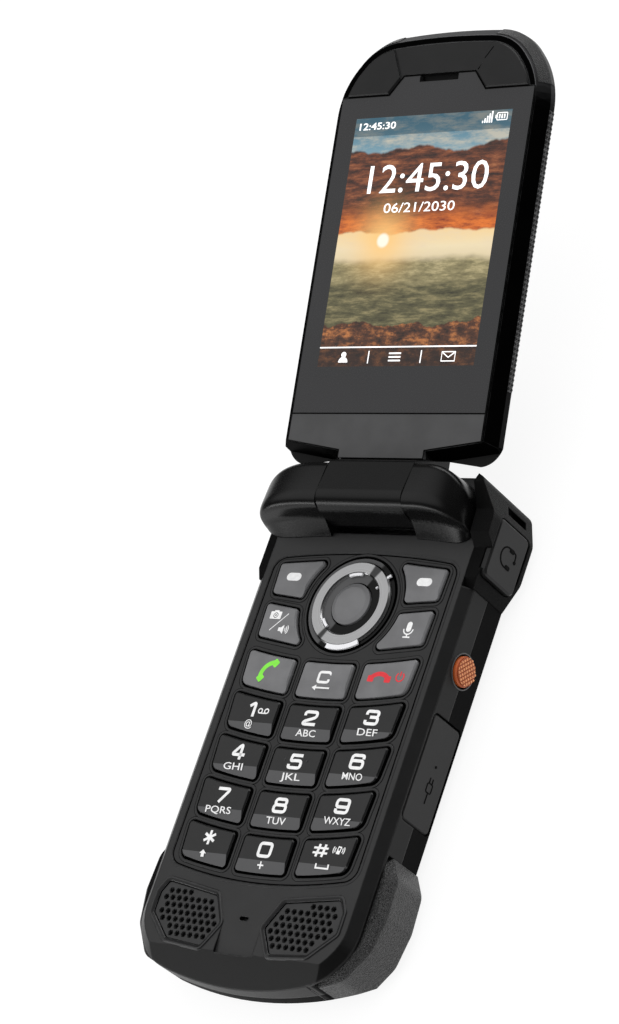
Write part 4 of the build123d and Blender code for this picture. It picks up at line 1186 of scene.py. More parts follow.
def moved(loops: Sequence[Loop], x: float, y: float, turn: float = 0.0, factor: float = 1.0) -> list[Loop]:
    """Outlines enlarged, turned in degrees, and moved."""
    c, s = factor * math.cos(math.radians(turn)), factor * math.sin(math.radians(turn))
    return [[(x + c * u - s * v, y + s * u + c * v) for u, v in loop] for loop in loops]


def moved_all(shapes: Shapes, x: float, y: float, factor: float) -> Shapes:
    """Shapes enlarged about the origin and moved."""
    return [moved(shape, x, y, 0.0, factor) for shape in shapes]


def grown(loop: Loop, distance: float) -> Loop:
    """A closed outline moved outwards, its corners kept.

    Args:
        loop: the outline, either way round.
        distance: by how much, or inwards where it is negative.

    Returns:
        The new outline, with as many corners.
    """
    area = sum(a[0] * b[1] - b[0] * a[1] for a, b in zip(loop, loop[1:] + loop[:1]))
    side = math.copysign(distance, area)
    result = []
    for i, (x, y) in enumerate(loop):
        before = (Vector((x, y)) - Vector(loop[i - 1])).normalized()
        after = (Vector(loop[(i + 1) % len(loop)]) - Vector((x, y))).normalized()
        out = Vector((before.y + after.y, -before.x - after.x))
        scale = side / max(out.length_squared / 2, 0.7)
        result.append((x + out.x * scale, y + out.y * scale))
    return result


def outlines(node: str, place: Matrix, level: float) -> list[Loop]:
    """The outlines of a node's level face.

    Args:
        node: a node of the frame.
        place: the frame that the face is level in.
        level: the face's height in it, in millimetres.

    Returns:
        Closed outlines in that frame's millimetres, the widest last.
    """
    shape = bmesh.new()
    shape.from_mesh(frame["nodes"][node].data)
    shape.transform(Matrix.Scale(1.0 / MM, 4) @ place.inverted())
    bmesh.ops.remove_doubles(shape, verts=shape.verts, dist=NEAR)
    shape.normal_update()
    waiting = dict.fromkeys(
        edge
        for edge in shape.edges
        if all(abs(v.co.z - level) < NEAR for v in edge.verts)
        and any(abs(f.normal.z) < LEVEL_NORMAL for f in edge.link_faces)
    )
    loops = []
    while waiting:
        edge, _ = waiting.popitem()
        first, here = edge.verts
        loop = [first, here]
        while here != first:
            edge = next((e for e in here.link_edges if e in waiting), None)
            if edge is None:
                break
            waiting.pop(edge)
            here = edge.other_vert(here)
            loop.append(here)
        loops.append([(v.co.x, v.co.y) for v in loop[:-1]])
    shape.free()
    return sorted(loops, key=lambda loop: max(x for x, _ in loop) - min(x for x, _ in loop))


# ------------------------------------------------------------------ studio
@dataclass(frozen=True)
class Camera:
    """The view that the model is shown from."""

    position: Vector = Vector((0.4209, -0.1999, 0.4950))
    forward: Vector = Vector((-0.63177, 0.35327, -0.68998))
    up: Vector = Vector((-0.02012, 0.88234, 0.47018))
    focal_length: float = 120.41
    sensor: float = 36.0

    def build(self) -> None:
        """Makes the camera and sets it as the scene's own."""
        data = bpy.data.cameras.new("view")
        data.sensor_fit = "VERTICAL"
        data.sensor_height = self.sensor
        data.lens = self.focal_length
        data.clip_start = 0.01
        camera = add_object("view", data)
        back = -self.forward.normalized()
        right = self.up.cross(back).normalized()
        turned = Matrix((right, back.cross(right), back)).transposed()
        camera.matrix_world = Matrix.Translation(self.position) @ turned.to_4x4()
        bpy.context.scene.camera = camera


@dataclass(frozen=True)
class Softbox:
    """A soft rectangular lamp that looks at the phone."""

    name: str
    direction: Vector
    distance: float
    width: float
    height: float
    power: float

    def build(self, target: Vector) -> None:
        """Hangs the lamp.

        Args:
            target: the point that it faces.
        """
        data = bpy.data.lights.new(self.name, "AREA")
        data.shape = "RECTANGLE"
        data.size = self.width
        data.size_y = self.height
        data.energy = self.power
        lamp = add_object(self.name, data)
        lamp.location = target + self.direction.normalized() * self.distance
        lamp.rotation_euler = self.direction.to_track_quat("Z", "Y").to_euler()


@dataclass(frozen=True)
class Studio:
    """Pale floor, world and lamps."""

    floor_half: float = 6.0
    fill: float = 0.8
    bright_side: Vector = Vector((-0.45, 0.1, 0.89))
    bright_range: Spot = (0.72, 0.95)
    bright_level: float = 1.1
    dark_level: float = 0.03
    floor_lift: float = 0.86
    target: Vector = Vector((0.0, 0.045, 0.02))
    lamps: tuple[Softbox, ...] = (
        Softbox("front_strip", Vector((-0.63, -0.76, 0.2)), 0.9, 0.5, 0.16, 1.7),
        Softbox("back_strip", Vector((0.1, 0.9, 0.42)), 0.9, 0.9, 0.25, 3.0),
    )

    def build(self) -> None:
        """Sets up the whole studio."""
        bpy.context.scene.view_settings.view_transform = "Standard"
        Camera().build()
        self.build_world()
        self.build_floor()
        for lamp in self.lamps:
            lamp.build(self.target)

    def build_world(self) -> None:
        """Even fill for matt surfaces, and a dark side for gloss to show its form against."""
        world = bpy.data.worlds.new("studio")
        bpy.context.scene.world = world
        world.use_nodes = True
        sheet = Sheet(world.node_tree)
        background = world.node_tree.nodes["Background"]
        background.inputs["Color"].default_value = (1.0, 1.0, 1.0, 1.0)
        facing = sheet.add("ShaderNodeTexCoord").outputs["Generated"]
        lean = sheet.vector("DOT_PRODUCT", facing, self.bright_side.normalized()).outputs["Value"]
        ceiling = sheet.remap(lean, *self.bright_range, self.dark_level, self.bright_level)
        path = sheet.add("ShaderNodeLightPath").outputs
        level = sheet.mix(path["Is Glossy Ray"], self.fill, ceiling)
        sheet.feed(background.inputs["Strength"], sheet.mix(path["Is Camera Ray"], level, 1.0))

    def build_floor(self) -> None:
        """A pale floor that shows white to the eye and keeps a soft shadow."""
        deselect()
        bpy.ops.mesh.primitive_plane_add(size=2 * self.floor_half, location=(0.0, 0.0, -0.1 * MM))
        floor = bpy.context.object
        floor.name = "floor"
        material, sheet, shader = new_material("pale_floor")
        speck = sheet.noise(sheet.place(), 20.0 * MM, 3.0)
        tone = sheet.blend(speck, (0.78, 0.78, 0.78), (0.82, 0.82, 0.82))
        sheet.feed(shader.inputs["Base Color"], tone)
        shader.inputs["Roughness"].default_value = 0.8
        shader.inputs["Specular IOR Level"].default_value = 0.0
        path = sheet.add("ShaderNodeLightPath").outputs
        direct = sheet.math("MAXIMUM", path["Is Camera Ray"], path["Is Glossy Ray"])
        shown = sheet.math("MAXIMUM", direct, path["Is Transmission Ray"])
        lift = sheet.add("ShaderNodeEmission", {"Color": (1.0, 1.0, 1.0), "Strength": self.floor_lift})
        shadow = sheet.add("ShaderNodeBsdfDiffuse", {"Color": (0.22, 0.22, 0.22)})
        white = sheet.add("ShaderNodeAddShader", {0: lift.outputs[0], 1: shadow.outputs[0]})
        pick = sheet.add("ShaderNodeMixShader", {0: shown, 1: shader.outputs[0], 2: white.outputs[0]})
        output = next(n for n in sheet.tree.nodes if n.type == "OUTPUT_MATERIAL")
        sheet.feed(output.inputs["Surface"], pick.outputs[0])
        floor.data.materials.append(material)


# ------------------------------------------------------------------ symbols
class Symbols:
    """Plain pictograms and wide digits, drawn as outlines in millimetres about the origin."""

    strokes: dict[str, tuple[tuple[Loop, bool], ...]] = {
        "0": (([(0, 0), (1, 0), (1, 1), (0, 1)], True),),
        "1": (([(0.3, 0.8), (0.66, 1.05), (0.66, 0.0)], False),),
        "2": (([(0, 0.82), (0, 1), (1, 1), (1, 0.58), (0, 0.2), (0, 0), (0.95, 0)], False),),
        "3": (
            ([(0.0, 0.84), (0.0, 1.0), (0.96, 1.0), (0.96, 0.53), (0.42, 0.53)], False),
            ([(0.42, 0.53), (1.0, 0.53), (1.0, 0.0), (0.0, 0.0), (0.0, 0.16)], False),
        ),
        "4": (([(0.74, 0.0), (0.74, 1.03), (0.6, 1.03), (0.0, 0.27), (1.0, 0.27)], False),),
        "5": (
            ([(0.9, 1.0), (0.2, 1.0)], False),
            ([(0.13, 0.93), (0.07, 0.53), (0.4, 0.58), (1, 0.58), (1, 0), (0, 0), (0, 0.15)], False),
        ),
        "6": (
            ([(0.96, 0.84), (0.96, 1.0), (0.0, 1.0), (0.0, 0.3)], False),
            ([(0, 0), (1, 0), (1, 0.57), (0, 0.57)], True),
        ),
        "7": (([(0.05, 1.0), (1.0, 1.0), (0.32, 0.0)], False),),
        "8": (
            ([(0.05, 0.54), (0.95, 0.54), (0.95, 1.0), (0.05, 1.0)], True),
            ([(0, 0), (1, 0), (1, 0.54), (0, 0.54)], True),
        ),
        "9": (
            ([(0.03, 0.16), (0.03, 0.0), (1.0, 0.0), (1.0, 0.7)], False),
            ([(0, 0.43), (1, 0.43), (1, 1), (0, 1)], True),
        ),
        "C": (([(1.0, 0.82), (1.0, 1.0), (0.0, 1.0), (0.0, 0.0), (1.0, 0.0), (1.0, 0.18)], False),),
    }

    @classmethod
    def digit(cls, name: str, x: float, y: float, size: Spot = (3.55, 3.3), stroke: float = 0.66) -> Shapes:
        """A digit with even strokes.

        Args:
            name: which digit.
            x: its middle, across.
            y: its middle, along.
            size: its width and height.
            stroke: the width of its strokes.

        Returns:
            One set of outlines for each stroke.
        """
        wide, high = size[0] - stroke, size[1] - stroke
        shapes = []
        for points, closed in cls.strokes[name]:
            line = [(x + (u - 0.5) * wide, y + (v - 0.5) * high) for u, v in points]
            line = line if closed else lengthened(line, stroke / 2)
            shapes.append(ribbon(rounded(line, 0.25 * high, closed), stroke, closed))
        return shapes

    @staticmethod
    def star(x: float, y: float) -> Shapes:
        """Six arms round a point."""
        bar = ribbon([(-1.5, 0.0), (1.5, 0.0)], 0.56)
        return [moved(bar, x, y + 0.3, turn) for turn in (30.0, 90.0, 150.0)]

    @staticmethod
    def hash(x: float, y: float) -> Shapes:
        """Two bars over two slanted ones.

        Args:
            x: its middle, across.
            y: its middle, along.

        Returns:
            One set of outlines for each of its parts.
        """
        level = [ribbon([(x - 1.75, y + s), (x + 1.75, y + s)], 0.42) for s in (-0.5, 0.5)]
        slant = [ribbon([(x + s - 0.1, y - 1.3), (x + s + 0.25, y + 1.3)], 0.55) for s in (-0.7, 0.7)]
        return level + slant

    @staticmethod
    def plus(x: float, y: float) -> Shapes:
        """A plus."""
        return [[rectangle(x, y, 1.5, 0.3)], [rectangle(x, y, 0.3, 1.5)]]

    @staticmethod
    def message_loop(x: float, y: float) -> Shapes:
        """Two rings joined by a bar, for recorded messages."""
        rings = [ring(x + side * 0.8, y, 0.48, 0.26) for side in (-1, 1)]
        return rings + [[rectangle(x, y - 0.48, 1.6, 0.26)]]

    @staticmethod
    def shift_arrow(x: float, y: float) -> Shapes:
        """A broad arrow that points up."""
        arrow = [(-0.85, 0), (0, 0.75), (0.85, 0), (0.38, 0), (0.38, -0.7), (-0.38, -0.7), (-0.38, 0)]
        return [moved([arrow[::-1]], x, y)]

    @staticmethod
    def space_bar(x: float, y: float) -> Shapes:
        """A low bracket."""
        posts = [[rectangle(x + side * 1.5, y + 0.02, 0.34, 0.86)] for side in (-1.0, 1.0)]
        return posts + [[rectangle(x, y - 0.4, 3.34, 0.34)]]

    @staticmethod
    def vibration(x: float, y: float) -> Shapes:
        """A small handset between waves.

        Args:
            x: its middle, across.
            y: its middle, along.

        Returns:
            One set of outlines for each of its parts.
        """
        body = moved([rectangle(0, 0, 0.85, 1.6), rectangle(0, 0.25, 0.42, 0.6)], x, y + 0.7, -8.0)
        waves = [
            ribbon(arc(x, y + 0.7, reach, start, start + 60, 8), 0.2)
            for reach in (0.92, 1.35)
            for start in (-30, 150)
        ]
        return [body] + waves

    @staticmethod
    def handset(x: float, y: float, turn: float) -> Shapes:
        """A telephone handset: a curved grip between ear and mouth pieces.

        Args:
            x: its middle, across.
            y: its middle, along.
            turn: how far it is turned, in degrees.

        Returns:
            One set of outlines for each of its parts.
        """
        grip = ribbon(arc(0.0, -1.7, 2.3, 38, 142, 16), 0.8)[0]
        ear = rounded(rectangle(-1.72, -0.3, 1.25, 1.15), 0.25, True)
        mouth = rounded(rectangle(1.72, -0.3, 1.25, 1.15), 0.25, True)
        return [moved([loop], x, y, turn) for loop in (grip, ear, mouth)]

    @staticmethod
    def power(x: float, y: float) -> Shapes:
        """An open ring with a stroke in its gap."""
        return [ribbon(arc(x, y, 0.92, 125, 415, 24), 0.3), [rectangle(x, y + 0.65, 0.3, 1.0)]]

    @staticmethod
    def back_arrow(x: float, y: float) -> Shapes:
        """A long arrow to the left."""
        head = [(x - 2.2, y), (x - 1.2, y - 0.62), (x - 1.2, y + 0.62)]
        return [[rectangle(x + 0.45, y, 3.4, 0.34)], [head]]

    @staticmethod
    def camera(x: float, y: float) -> Shapes:
        """A camera seen from the front."""
        body = [rounded(rectangle(x, y - 0.1, 2.8, 1.65), 0.2, True), arc(x, y - 0.1, 0.62, 0, 345, 20)]
        return [body, ring(x, y - 0.1, 0.32, 0.2), [rectangle(x, y + 0.85, 1.1, 0.3)]]

    @staticmethod
    def loudspeaker(x: float, y: float) -> Shapes:
        """A loudspeaker with its waves.

        Args:
            x: its middle, across.
            y: its middle, along.

        Returns:
            One set of outlines for each of its parts.
        """
        cone = [(-1.3, -0.4), (-0.7, -0.4), (0.0, -1.0), (0.0, 1.0), (-0.7, 0.4), (-1.3, 0.4)]
        waves = [ribbon(arc(x - 0.1, y, reach, -42, 42, 8), 0.17) for reach in (0.55, 0.95, 1.35)]
        return [moved([cone], x, y)] + waves

    @staticmethod
    def slash(x: float, y: float) -> Shapes:
        """A thin slanted line."""
        return [ribbon([(x - 1.8, y - 1.9), (x + 1.8, y + 1.9)], 0.17)]

    @staticmethod
    def microphone(x: float, y: float) -> Shapes:
        """A microphone on its stand.

        Args:
            x: its middle, across.
            y: its middle, along.

        Returns:
            One set of outlines for each of its parts.
        """
        body = arc(x, y + 1.05, 0.6, 0, 180, 10) + arc(x, y + 0.05, 0.6, 180, 360, 10)
        cradle = ribbon(arc(x, y + 0.05, 1.12, 180, 360, 16), 0.28)
        return [[body], cradle, [rectangle(x, y - 1.35, 0.3, 0.5)], [rectangle(x, y - 1.7, 1.7, 0.3)]]

    @staticmethod
    def headset(x: float, y: float) -> Shapes:
        """A headset with its microphone arm.

        Args:
            x: its middle, across.
            y: its middle, along.

        Returns:
            One set of outlines for each of its parts.
        """
        bow = ribbon(arc(x, y, 1.7, -35, 215, 26), 0.28)
        ears = [rounded(rectangle(x + s * 1.5, y - 0.9, 0.75, 1.3), 0.3, True) for s in (-1, 1)]
        arm = ribbon(rounded([(x + 1.6, y - 1.5), (x + 1.5, y - 2.2), (x + 0.4, y - 2.3)], 0.5), 0.24)
        return [bow, [ears[0]], [ears[1]], arm, ring(x + 0.1, y - 2.3, 0.22, 0.2)]

    @staticmethod
    def charging_plug(x: float, y: float) -> Shapes:
        """A plug with two prongs and a length of its lead.

        Args:
            x: its middle, across.
            y: its middle, along.

        Returns:
            One set of outlines for each of its parts.
        """
        body = rounded(rectangle(x, y, 1.9, 1.7), 0.5, True)
        prongs = [[rectangle(x + 1.5, y + s, 1.1, 0.26)] for s in (-0.45, 0.45)]
        return [ribbon(body, 0.26, True), *prongs, ribbon([(x - 0.95, y), (x - 3.2, y)], 0.26)]


# ------------------------------------------------------------------ keypad
@dataclass(frozen=True)
class KeyMark:
    """What one number key shows, in millimetres from the row's upper edge and the key's middle."""

    key: str
    main: Sign | str
    letters: str = ""
    extra: Sign | None = None
    shift: float = 0.0
    side: Sign | None = None


@dataclass
class Keypad:
    """Printed marks on the keys, raised rims round them with black beads of painted shade in their gaps, and
    the bright tabs and painted glints of the ring.
    """

    digit_drop: float = 2.55
    side_sign: Spot = (2.7, -0.3)
    letter_drop: float = 5.8
    letter_height: float = 1.45
    letter_width: float = 1.62
    letter_weight: float = 0.012
    lone_letter_width: float = 1.9
    facet_length: float = 2.5
    facet_drop: float = 0.45
    bow_radius: float = 105.0
    soft_bar: Spot = (3.7, 1.75)
    soft_left: Spot = (-16.4, 31.0)
    soft_right: Spot = (16.5, 31.0)
    camera: Spot = (-17.6, 22.4)
    slash: Spot = (-16.2, 20.85)
    loudspeaker: Spot = (-14.5, 19.25)
    microphone: Spot = (16.5, 20.7)
    send: Spot = (-15.0, 10.4)
    clear: Spot = (-0.1, 9.45)
    clear_arrow: Spot = (-0.1, 7.15)
    end: Spot = (13.4, 10.2)
    power: Spot = (18.3, 10.5)
    homing_dot: Spot = (2.75, 2.4)
    opening_rim: tuple[Spot, ...] = ((0.16, -0.1), (0.22, 0.1), (0.6, 0.1), (0.72, -0.1))
    panel_rim: tuple[Spot, ...] = ((-0.85, -0.1), (-0.75, 0.08), (-0.35, 0.08), (-0.25, -0.1))
    # black beads of painted shade: in the gap round each opening and the panel, and outside each raised rim
    gap_painted_shade: Bead = (0.02, -0.03, 0.13)
    rim_painted_shade: Bead = (0.76, -0.02, 0.05)
    outer_section: tuple[Spot, ...] = ((9.15, 15.0), (9.15, 15.4), (10.18, 15.34), (10.18, 14.9))
    # tab spans in degrees, painted near white as a highlight; the narrow spans near 33.5 to 41 degrees are
    # painted glints
    outer_tabs_and_glints: tuple[Spot, ...] = ((256.0, 302.0), (38.0, 41.0))
    inner_section: tuple[Spot, ...] = ((6.75, 15.0), (6.75, 15.39), (6.2, 15.33), (6.2, 14.9))
    inner_tabs_and_glints: tuple[Spot, ...] = ((84.0, 112.0), (214.0, 234.0), (33.5, 36.0))
    marks: tuple[tuple[KeyMark, KeyMark, KeyMark], ...] = (
        (KeyMark("key_1", "1", "@", None, -0.2, Symbols.message_loop), KeyMark("key_2", "2", "ABC"),
         KeyMark("key_3", "3", "DEF")),
        (KeyMark("key_4", "4", "GHI"), KeyMark("key_5", "5", "JKL"), KeyMark("key_6", "6", "MNO")),
        (KeyMark("key_7", "7", "PQRS"), KeyMark("key_8", "8", "TUV"), KeyMark("key_9", "9", "WXYZ")),
        (KeyMark("key_star", Symbols.star, "", Symbols.shift_arrow, 0.3),
         KeyMark("key_0", "0", "", Symbols.plus),
         KeyMark("key_hash", Symbols.hash, "", Symbols.space_bar, -1.6, Symbols.vibration)),
    )

    def build(self) -> None:
        """Makes all marks and trim of the keypad."""
        self.white = Lit("legend_white", (0.88, 0.88, 0.88), 0.15).build()
        self.green = Lit("legend_green", (0.2, 0.72, 0.05), 0.3).build()
        self.red = Lit("legend_red", (0.62, 0.02, 0.03), 0.3).build()
        for row in self.marks:
            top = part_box(row[1].key)[1].y / MM - self.bow(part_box(row[1].key)[1].x / MM)
            for mark in row:
                self.number_print(mark, top)
        self.function_prints()
        self.homing_dots()
        self.rims()
        self.ring_tabs_and_glints()

    def bow(self, x: float) -> float:
        """How far a bowed row rises at a distance from the centre line."""
        return x * x / (2 * self.bow_radius)

    def number_print(self, mark: KeyMark, row_top: float) -> None:
        """Prints one number key.

        Args:
            mark: what it shows.
            row_top: the row's upper edge at the centre line.
        """
        low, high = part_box(mark.key)
        x = (low.x + high.x) / 2 / MM
        top = row_top + self.bow(x)
        level = top - self.digit_drop
        draw = mark.main if callable(mark.main) else partial(Symbols.digit, mark.main)
        shapes = draw(x + mark.shift, level)
        if mark.side:
            shapes += mark.side(x + self.side_sign[0], level + self.side_sign[1])
        parts = inked(shapes, flat_frame(0.0, 0.0, high.z))
        below = self.facet_frame(mark.key, x, top - self.letter_drop)
        if mark.letters:
            count = len(mark.letters)
            width = self.lone_letter_width if count == 1 else self.letter_width * count
            line = lettering(mark.letters, self.letter_height, width, self.letter_weight)
            parts.append(settle(line, "letters", below))
        if mark.extra:
            parts += inked(mark.extra(0.0, 0.1), below)
        dress(merge(parts, f"{mark.key}_print"), mark.key, self.white)

    def facet_frame(self, key: str, x: float, y: float) -> Matrix:
        """A frame on a key's lower facet, at a place in millimetres.

        Args:
            key: the key's node.
            x: across.
            y: along.

        Returns:
            The frame, tilted with the facet.
        """
        fold = self.facet_fold(key, x)
        slope = math.atan2(self.facet_drop, self.facet_length)
        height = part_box(key)[1].z - (fold - y) * MM * self.facet_drop / self.facet_length
        return flat_frame(x * MM, y * MM, height) @ Matrix.Rotation(slope, 4, "X")

    def facet_fold(self, key: str, x: float) -> float:
        """Where a key's top folds down, read from its mesh.

        Args:
            key: the key's node.
            x: the distance from the centre line.

        Returns:
            The fold's place along Y, in millimetres.
        """
        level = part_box(key)[1].z
        spots = [v.co / MM for v in frame["nodes"][key].data.vertices if abs(v.co.z - level) < NEAR / 2 * MM]
        return min(spot.y - self.bow(spot.x) for spot in spots) + self.bow(x)

    def function_prints(self) -> None:
        """Prints the function keys with plain symbols."""
        for key, spot in (("soft_key_left", self.soft_left), ("soft_key_right", self.soft_right)):
            self.symbol_print(key, [[pill(*spot, *self.soft_bar)]], self.white)
        double = Symbols.camera(*self.camera) + Symbols.slash(*self.slash)
        self.symbol_print("camera_key", double + Symbols.loudspeaker(*self.loudspeaker), self.white)
        self.symbol_print("microphone_key", Symbols.microphone(*self.microphone), self.white)
        send = moved_all(Symbols.handset(0.0, 0.0, 50.0), *self.send, 1.25)
        self.symbol_print("send_key", send, self.green)
        clear = Symbols.digit("C", *self.clear, (3.2, 2.7), 0.55) + Symbols.back_arrow(*self.clear_arrow)
        self.symbol_print("clear_key", clear, self.white)
        end = moved_all(Symbols.handset(0.0, 0.0, 0.0), *self.end, 1.2) + Symbols.power(*self.power)
        self.symbol_print("end_key", end, self.red)

    def symbol_print(self, key: str, shapes: Shapes, material: Material) -> None:
        """Prints symbols on a function key.

        Args:
            key: the key's node and body.
            shapes: each a set of outlines, which may have holes.
            material: the ink.
        """
        place = flat_frame(0.0, 0.0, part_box(key)[1].z)
        dress(merge(inked(shapes, place), f"{key}_print"), key, material)

    def homing_dots(self) -> None:
        """Two small raised dots beside the middle digit, for fingers to find."""
        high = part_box("key_5")[1]
        across, drop = self.homing_dot
        parts = []
        for x in (-across, across):
            dot = bead([(x, high.y / MM - drop, z) for z in (-0.05, 0.06)], 0.27, False)
            parts.append(settle(dot, "dot", flat_frame(0.0, 0.0, high.z)))
        dress(smooth(merge(parts, "key_5_dots")), "key_5", Moulded("dot_black", grey(0.02), 0.3).build())

    def rims(self) -> None:
        """Raised beads round the openings of the keypad panel, and black beads of painted shade in the gaps
        round the openings and the panel and outside each rim.
        """
        # the rims' pale edges are partly a painted highlight
        rim = Moulded("rim_grey", grey(0.014), 0.4, grain_size=0.1 * MM, specular=0.4, edge_wear_and_highlight_colour=grey(0.11),
                      edge_wear_and_highlight_gain=3.0, edge_radius=0.1 * MM).build()
        # near black and matt: painted shade in the gaps
        shade_seam = Moulded("seam_painted_shade", grey(0.0005), 0.9, specular=0.02, edge_wear_and_highlight_gain=0.0).build()
        place = Matrix.Identity(4)
        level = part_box("keypad_panel")[1].z / MM
        loops = [loop for loop in outlines("keypad_panel", place, level) if len(loop) > 5]
        bands = [settle(band(loop, self.opening_rim, level), "rim", place) for loop in loops[:-1]]
        bands.append(settle(band(loops[-1], self.panel_rim, level), "rim", place))
        dress(merge(bands, "keypad_rims"), "base", rim)
        lines = [level_bead(loop, level, *self.gap_painted_shade) for loop in loops]
        lines += [level_bead(loop, level, *self.rim_painted_shade) for loop in loops[:-1]]
        dress(merge([settle(line, "shade_seam", place) for line in lines], "keypad_painted_shade_seams"), "base", shade_seam)

    def ring_tabs_and_glints(self) -> None:
        """Bevelled tabs on the outer and inner edge of the ring's band, painted near white as a highlight;
        the narrowest spans stand only for glints.
        """
        metal = Moulded("polished_metal_painted_glint", grey(0.92), 0.25, grain_height=0.001 * MM, blotch=0.03,
                        metallic=0.25, edge_wear_and_highlight_colour=(0.8, 0.8, 0.8), edge_wear_and_highlight_gain=0.2).build()
        place = flat_frame(RING_CENTRE[0] * MM, RING_CENTRE[1] * MM, 0.0)
        parts = [arc_wedge(self.outer_section, *span) for span in self.outer_tabs_and_glints]
        parts += [arc_wedge(self.inner_section, *span) for span in self.inner_tabs_and_glints]
        settled = [settle(part, "tab", place) for part in parts]
        dress(smooth(merge(settled, "nav_ring_tabs_and_glints"), 30.0), "nav_ring", metal)


# ------------------------------------------------------------------ lid
@dataclass(frozen=True)
class DisplayLine:
    """One line of text on the display: its size and its middle, in millimetres."""

    name: str
    text: str
    height: float
    width: float
    spot: Spot
    weight: float = 0.0


@dataclass
class Lid:
    """Marks on the display, lines of painted shade and painted highlight round its glass, a line of painted
    shade on the earpiece cover, and grip strips on its sides.
    """

    face: float = 1.85
    half_width: float = 27.0
    lines: tuple[DisplayLine, ...] = (
        DisplayLine("clock", "12:45:30", 6.2, 30.3, (0.3, 65.2)),
        DisplayLine("date", "06/21/2030", 2.1, 18.0, (0.0, 59.2)),
        DisplayLine("small_clock", "12:45:30", 1.5, 9.4, (-14.2, 77.0), 0.02),
    )
    status_row: float = 77.5
    menu_row: float = 28.0
    # painted shade round the glass, and a painted highlight line on the rim
    glass_shade_seam: Bead = (0.0, -0.02, 0.11)
    rim_highlight_line: Bead = (0.04, -0.11, 0.09)
    crease: tuple[Spot, Spot] = ((9.6, 87.8), (13.0, 92.3))
    crease_steps: int = 8
    crease_radius: float = 0.1
    grip_start: float = 21.5
    grip_end: float = 79.0
    grip_height: float = -1.5
    grip_width: float = 1.5
    grip_pitch: float = 1.0
    grip_rise: float = 0.45

    def build(self) -> None:
        """Makes all trim of the lid."""
        self.display_marks()
        self.glass_lines()
        self.cover_crease_shade()
        self.grips()

    def on_face(self, x: float = 0.0, along: float = 0.0, lift: float = 0.02) -> Matrix:
        """A frame on the lid's inner face, at a place in millimetres."""
        return LID.matrix() @ Matrix.Translation((x * MM, along * MM, (self.face + lift) * MM))

    def display_marks(self) -> None:
        """Clock, date, status strip and menu bar on the display."""
        ink = Lit("display_white", (0.9, 0.9, 0.9), 0.9).build()
        parts = []
        for line in self.lines:
            text = lettering(line.text, line.height, line.width, line.weight)
            parts.append(settle(text, line.name, self.on_face(*line.spot)))
        parts += inked(self.status_signs() + self.menu_signs(), self.on_face(), 0.02)
        dress(merge(parts, "display_marks"), "lid", ink)

    def status_signs(self) -> Shapes:
        """Rising signal bars and a battery, in the strip at the display's upper edge.

        Returns:
            The signs' outlines.
        """
        row = self.status_row
        steps = range(1, 6)
        signal = [[rectangle(12.25 + 0.55 * i, row - 1.2 + 0.24 * i, 0.3, 0.48 * i)] for i in steps]
        battery = [ribbon(rounded(rectangle(17.5, row, 2.5, 1.5), 0.2, True), 0.16, True)]
        battery += [[rectangle(16.0, row, 0.3, 0.7)]]
        battery += [[rectangle(16.85 + 0.62 * i, row, 0.28, 0.9)] for i in range(3)]
        return signal + battery

    def menu_signs(self) -> Shapes:
        """A line over the menu bar, and in it a person, a list and an envelope between two strokes.

        Returns:
            The signs' outlines.
        """
        row = self.menu_row
        strokes = [[rectangle(0.0, row + 2.1, 39.6, 0.26)]]
        strokes += [[rectangle(x, row, 0.22, 2.6)] for x in (-6.9, 6.4)]
        bars = [[rectangle(-0.2, row + 0.75 * i, 3.0, 0.3)] for i in (-1, 0, 1)]
        person = [[arc(-13.3, row + 0.55, 0.6, 0, 345, 20)], [arc(-13.3, row - 1.05, 1.15, 0, 180, 14)]]
        left, right, low, high = 11.6, 14.9, row - 0.95, row + 0.95
        envelope = [ribbon([(left, low), (right, low), (right, high), (left, high)], 0.22, True)]
        envelope += [ribbon([(left, row + 0.9), ((left + right) / 2, row - 0.2), (right, row + 0.9)], 0.22)]
        return strokes + bars + person + envelope

    def glass_lines(self) -> None:
        """A black seam of painted shade round the glass, and a pale line of painted highlight on the rim
        outside it.
        """
        dark = Moulded("glass_shade_seam", grey(0.001), 0.7, specular=0.1, edge_wear_and_highlight_gain=0.0).build()
        rim_highlight_finish = Moulded("lid_rim_painted_highlight", grey(0.09), 0.35, grain_height=0.001 * MM, edge_wear_and_highlight_gain=0.0).build()
        place = LID.matrix()
        loops = [outlines(node, place, self.face)[-1] for node in ("display_glass", "lower_panel")]
        seams = [settle(level_bead(loop, self.face, *self.glass_shade_seam), "shade_seam", place) for loop in loops]
        dress(merge(seams, "glass_shade_seams"), "lid", dark)
        rim = outlines("lid_inner_case", place, self.face)[-1]
        line = settle(level_bead(rim, self.face, *self.rim_highlight_line), "rim_highlight_line", place)
        dress(smooth(line, 60.0), "lid", rim_highlight_finish)

    def cover_crease_shade(self) -> None:
        """A fine black line of painted shade along the crease over the earpiece cover, from the right corner
        of its recess to its rim.

        Its points are found on the cover from above, because the cover slopes there.
        """
        shade = Moulded("crease_painted_shade", grey(0.001), 0.5, specular=0.1, edge_wear_and_highlight_gain=0.0).build()
        place = LID.matrix()
        down = place.to_3x3() @ Vector((0.0, 0.0, -1.0))
        start, end = (Vector(spot) for spot in self.crease)
        line = []
        for i in range(self.crease_steps + 1):
            above = place @ (Vector((*start.lerp(end, i / self.crease_steps), 10.0)) * MM)
            hit, spot, _, _ = frame["nodes"]["earpiece_cover"].ray_cast(above, down)
            if hit:
                line.append(tuple((place.inverted() @ spot) / MM))
        crease = settle(bead(line, self.crease_radius, False), "cover_crease_shade", place)
        dress(smooth(crease, 60.0), "lid", shade)

    def grips(self) -> None:
        """Strips of small pyramids along both side walls."""
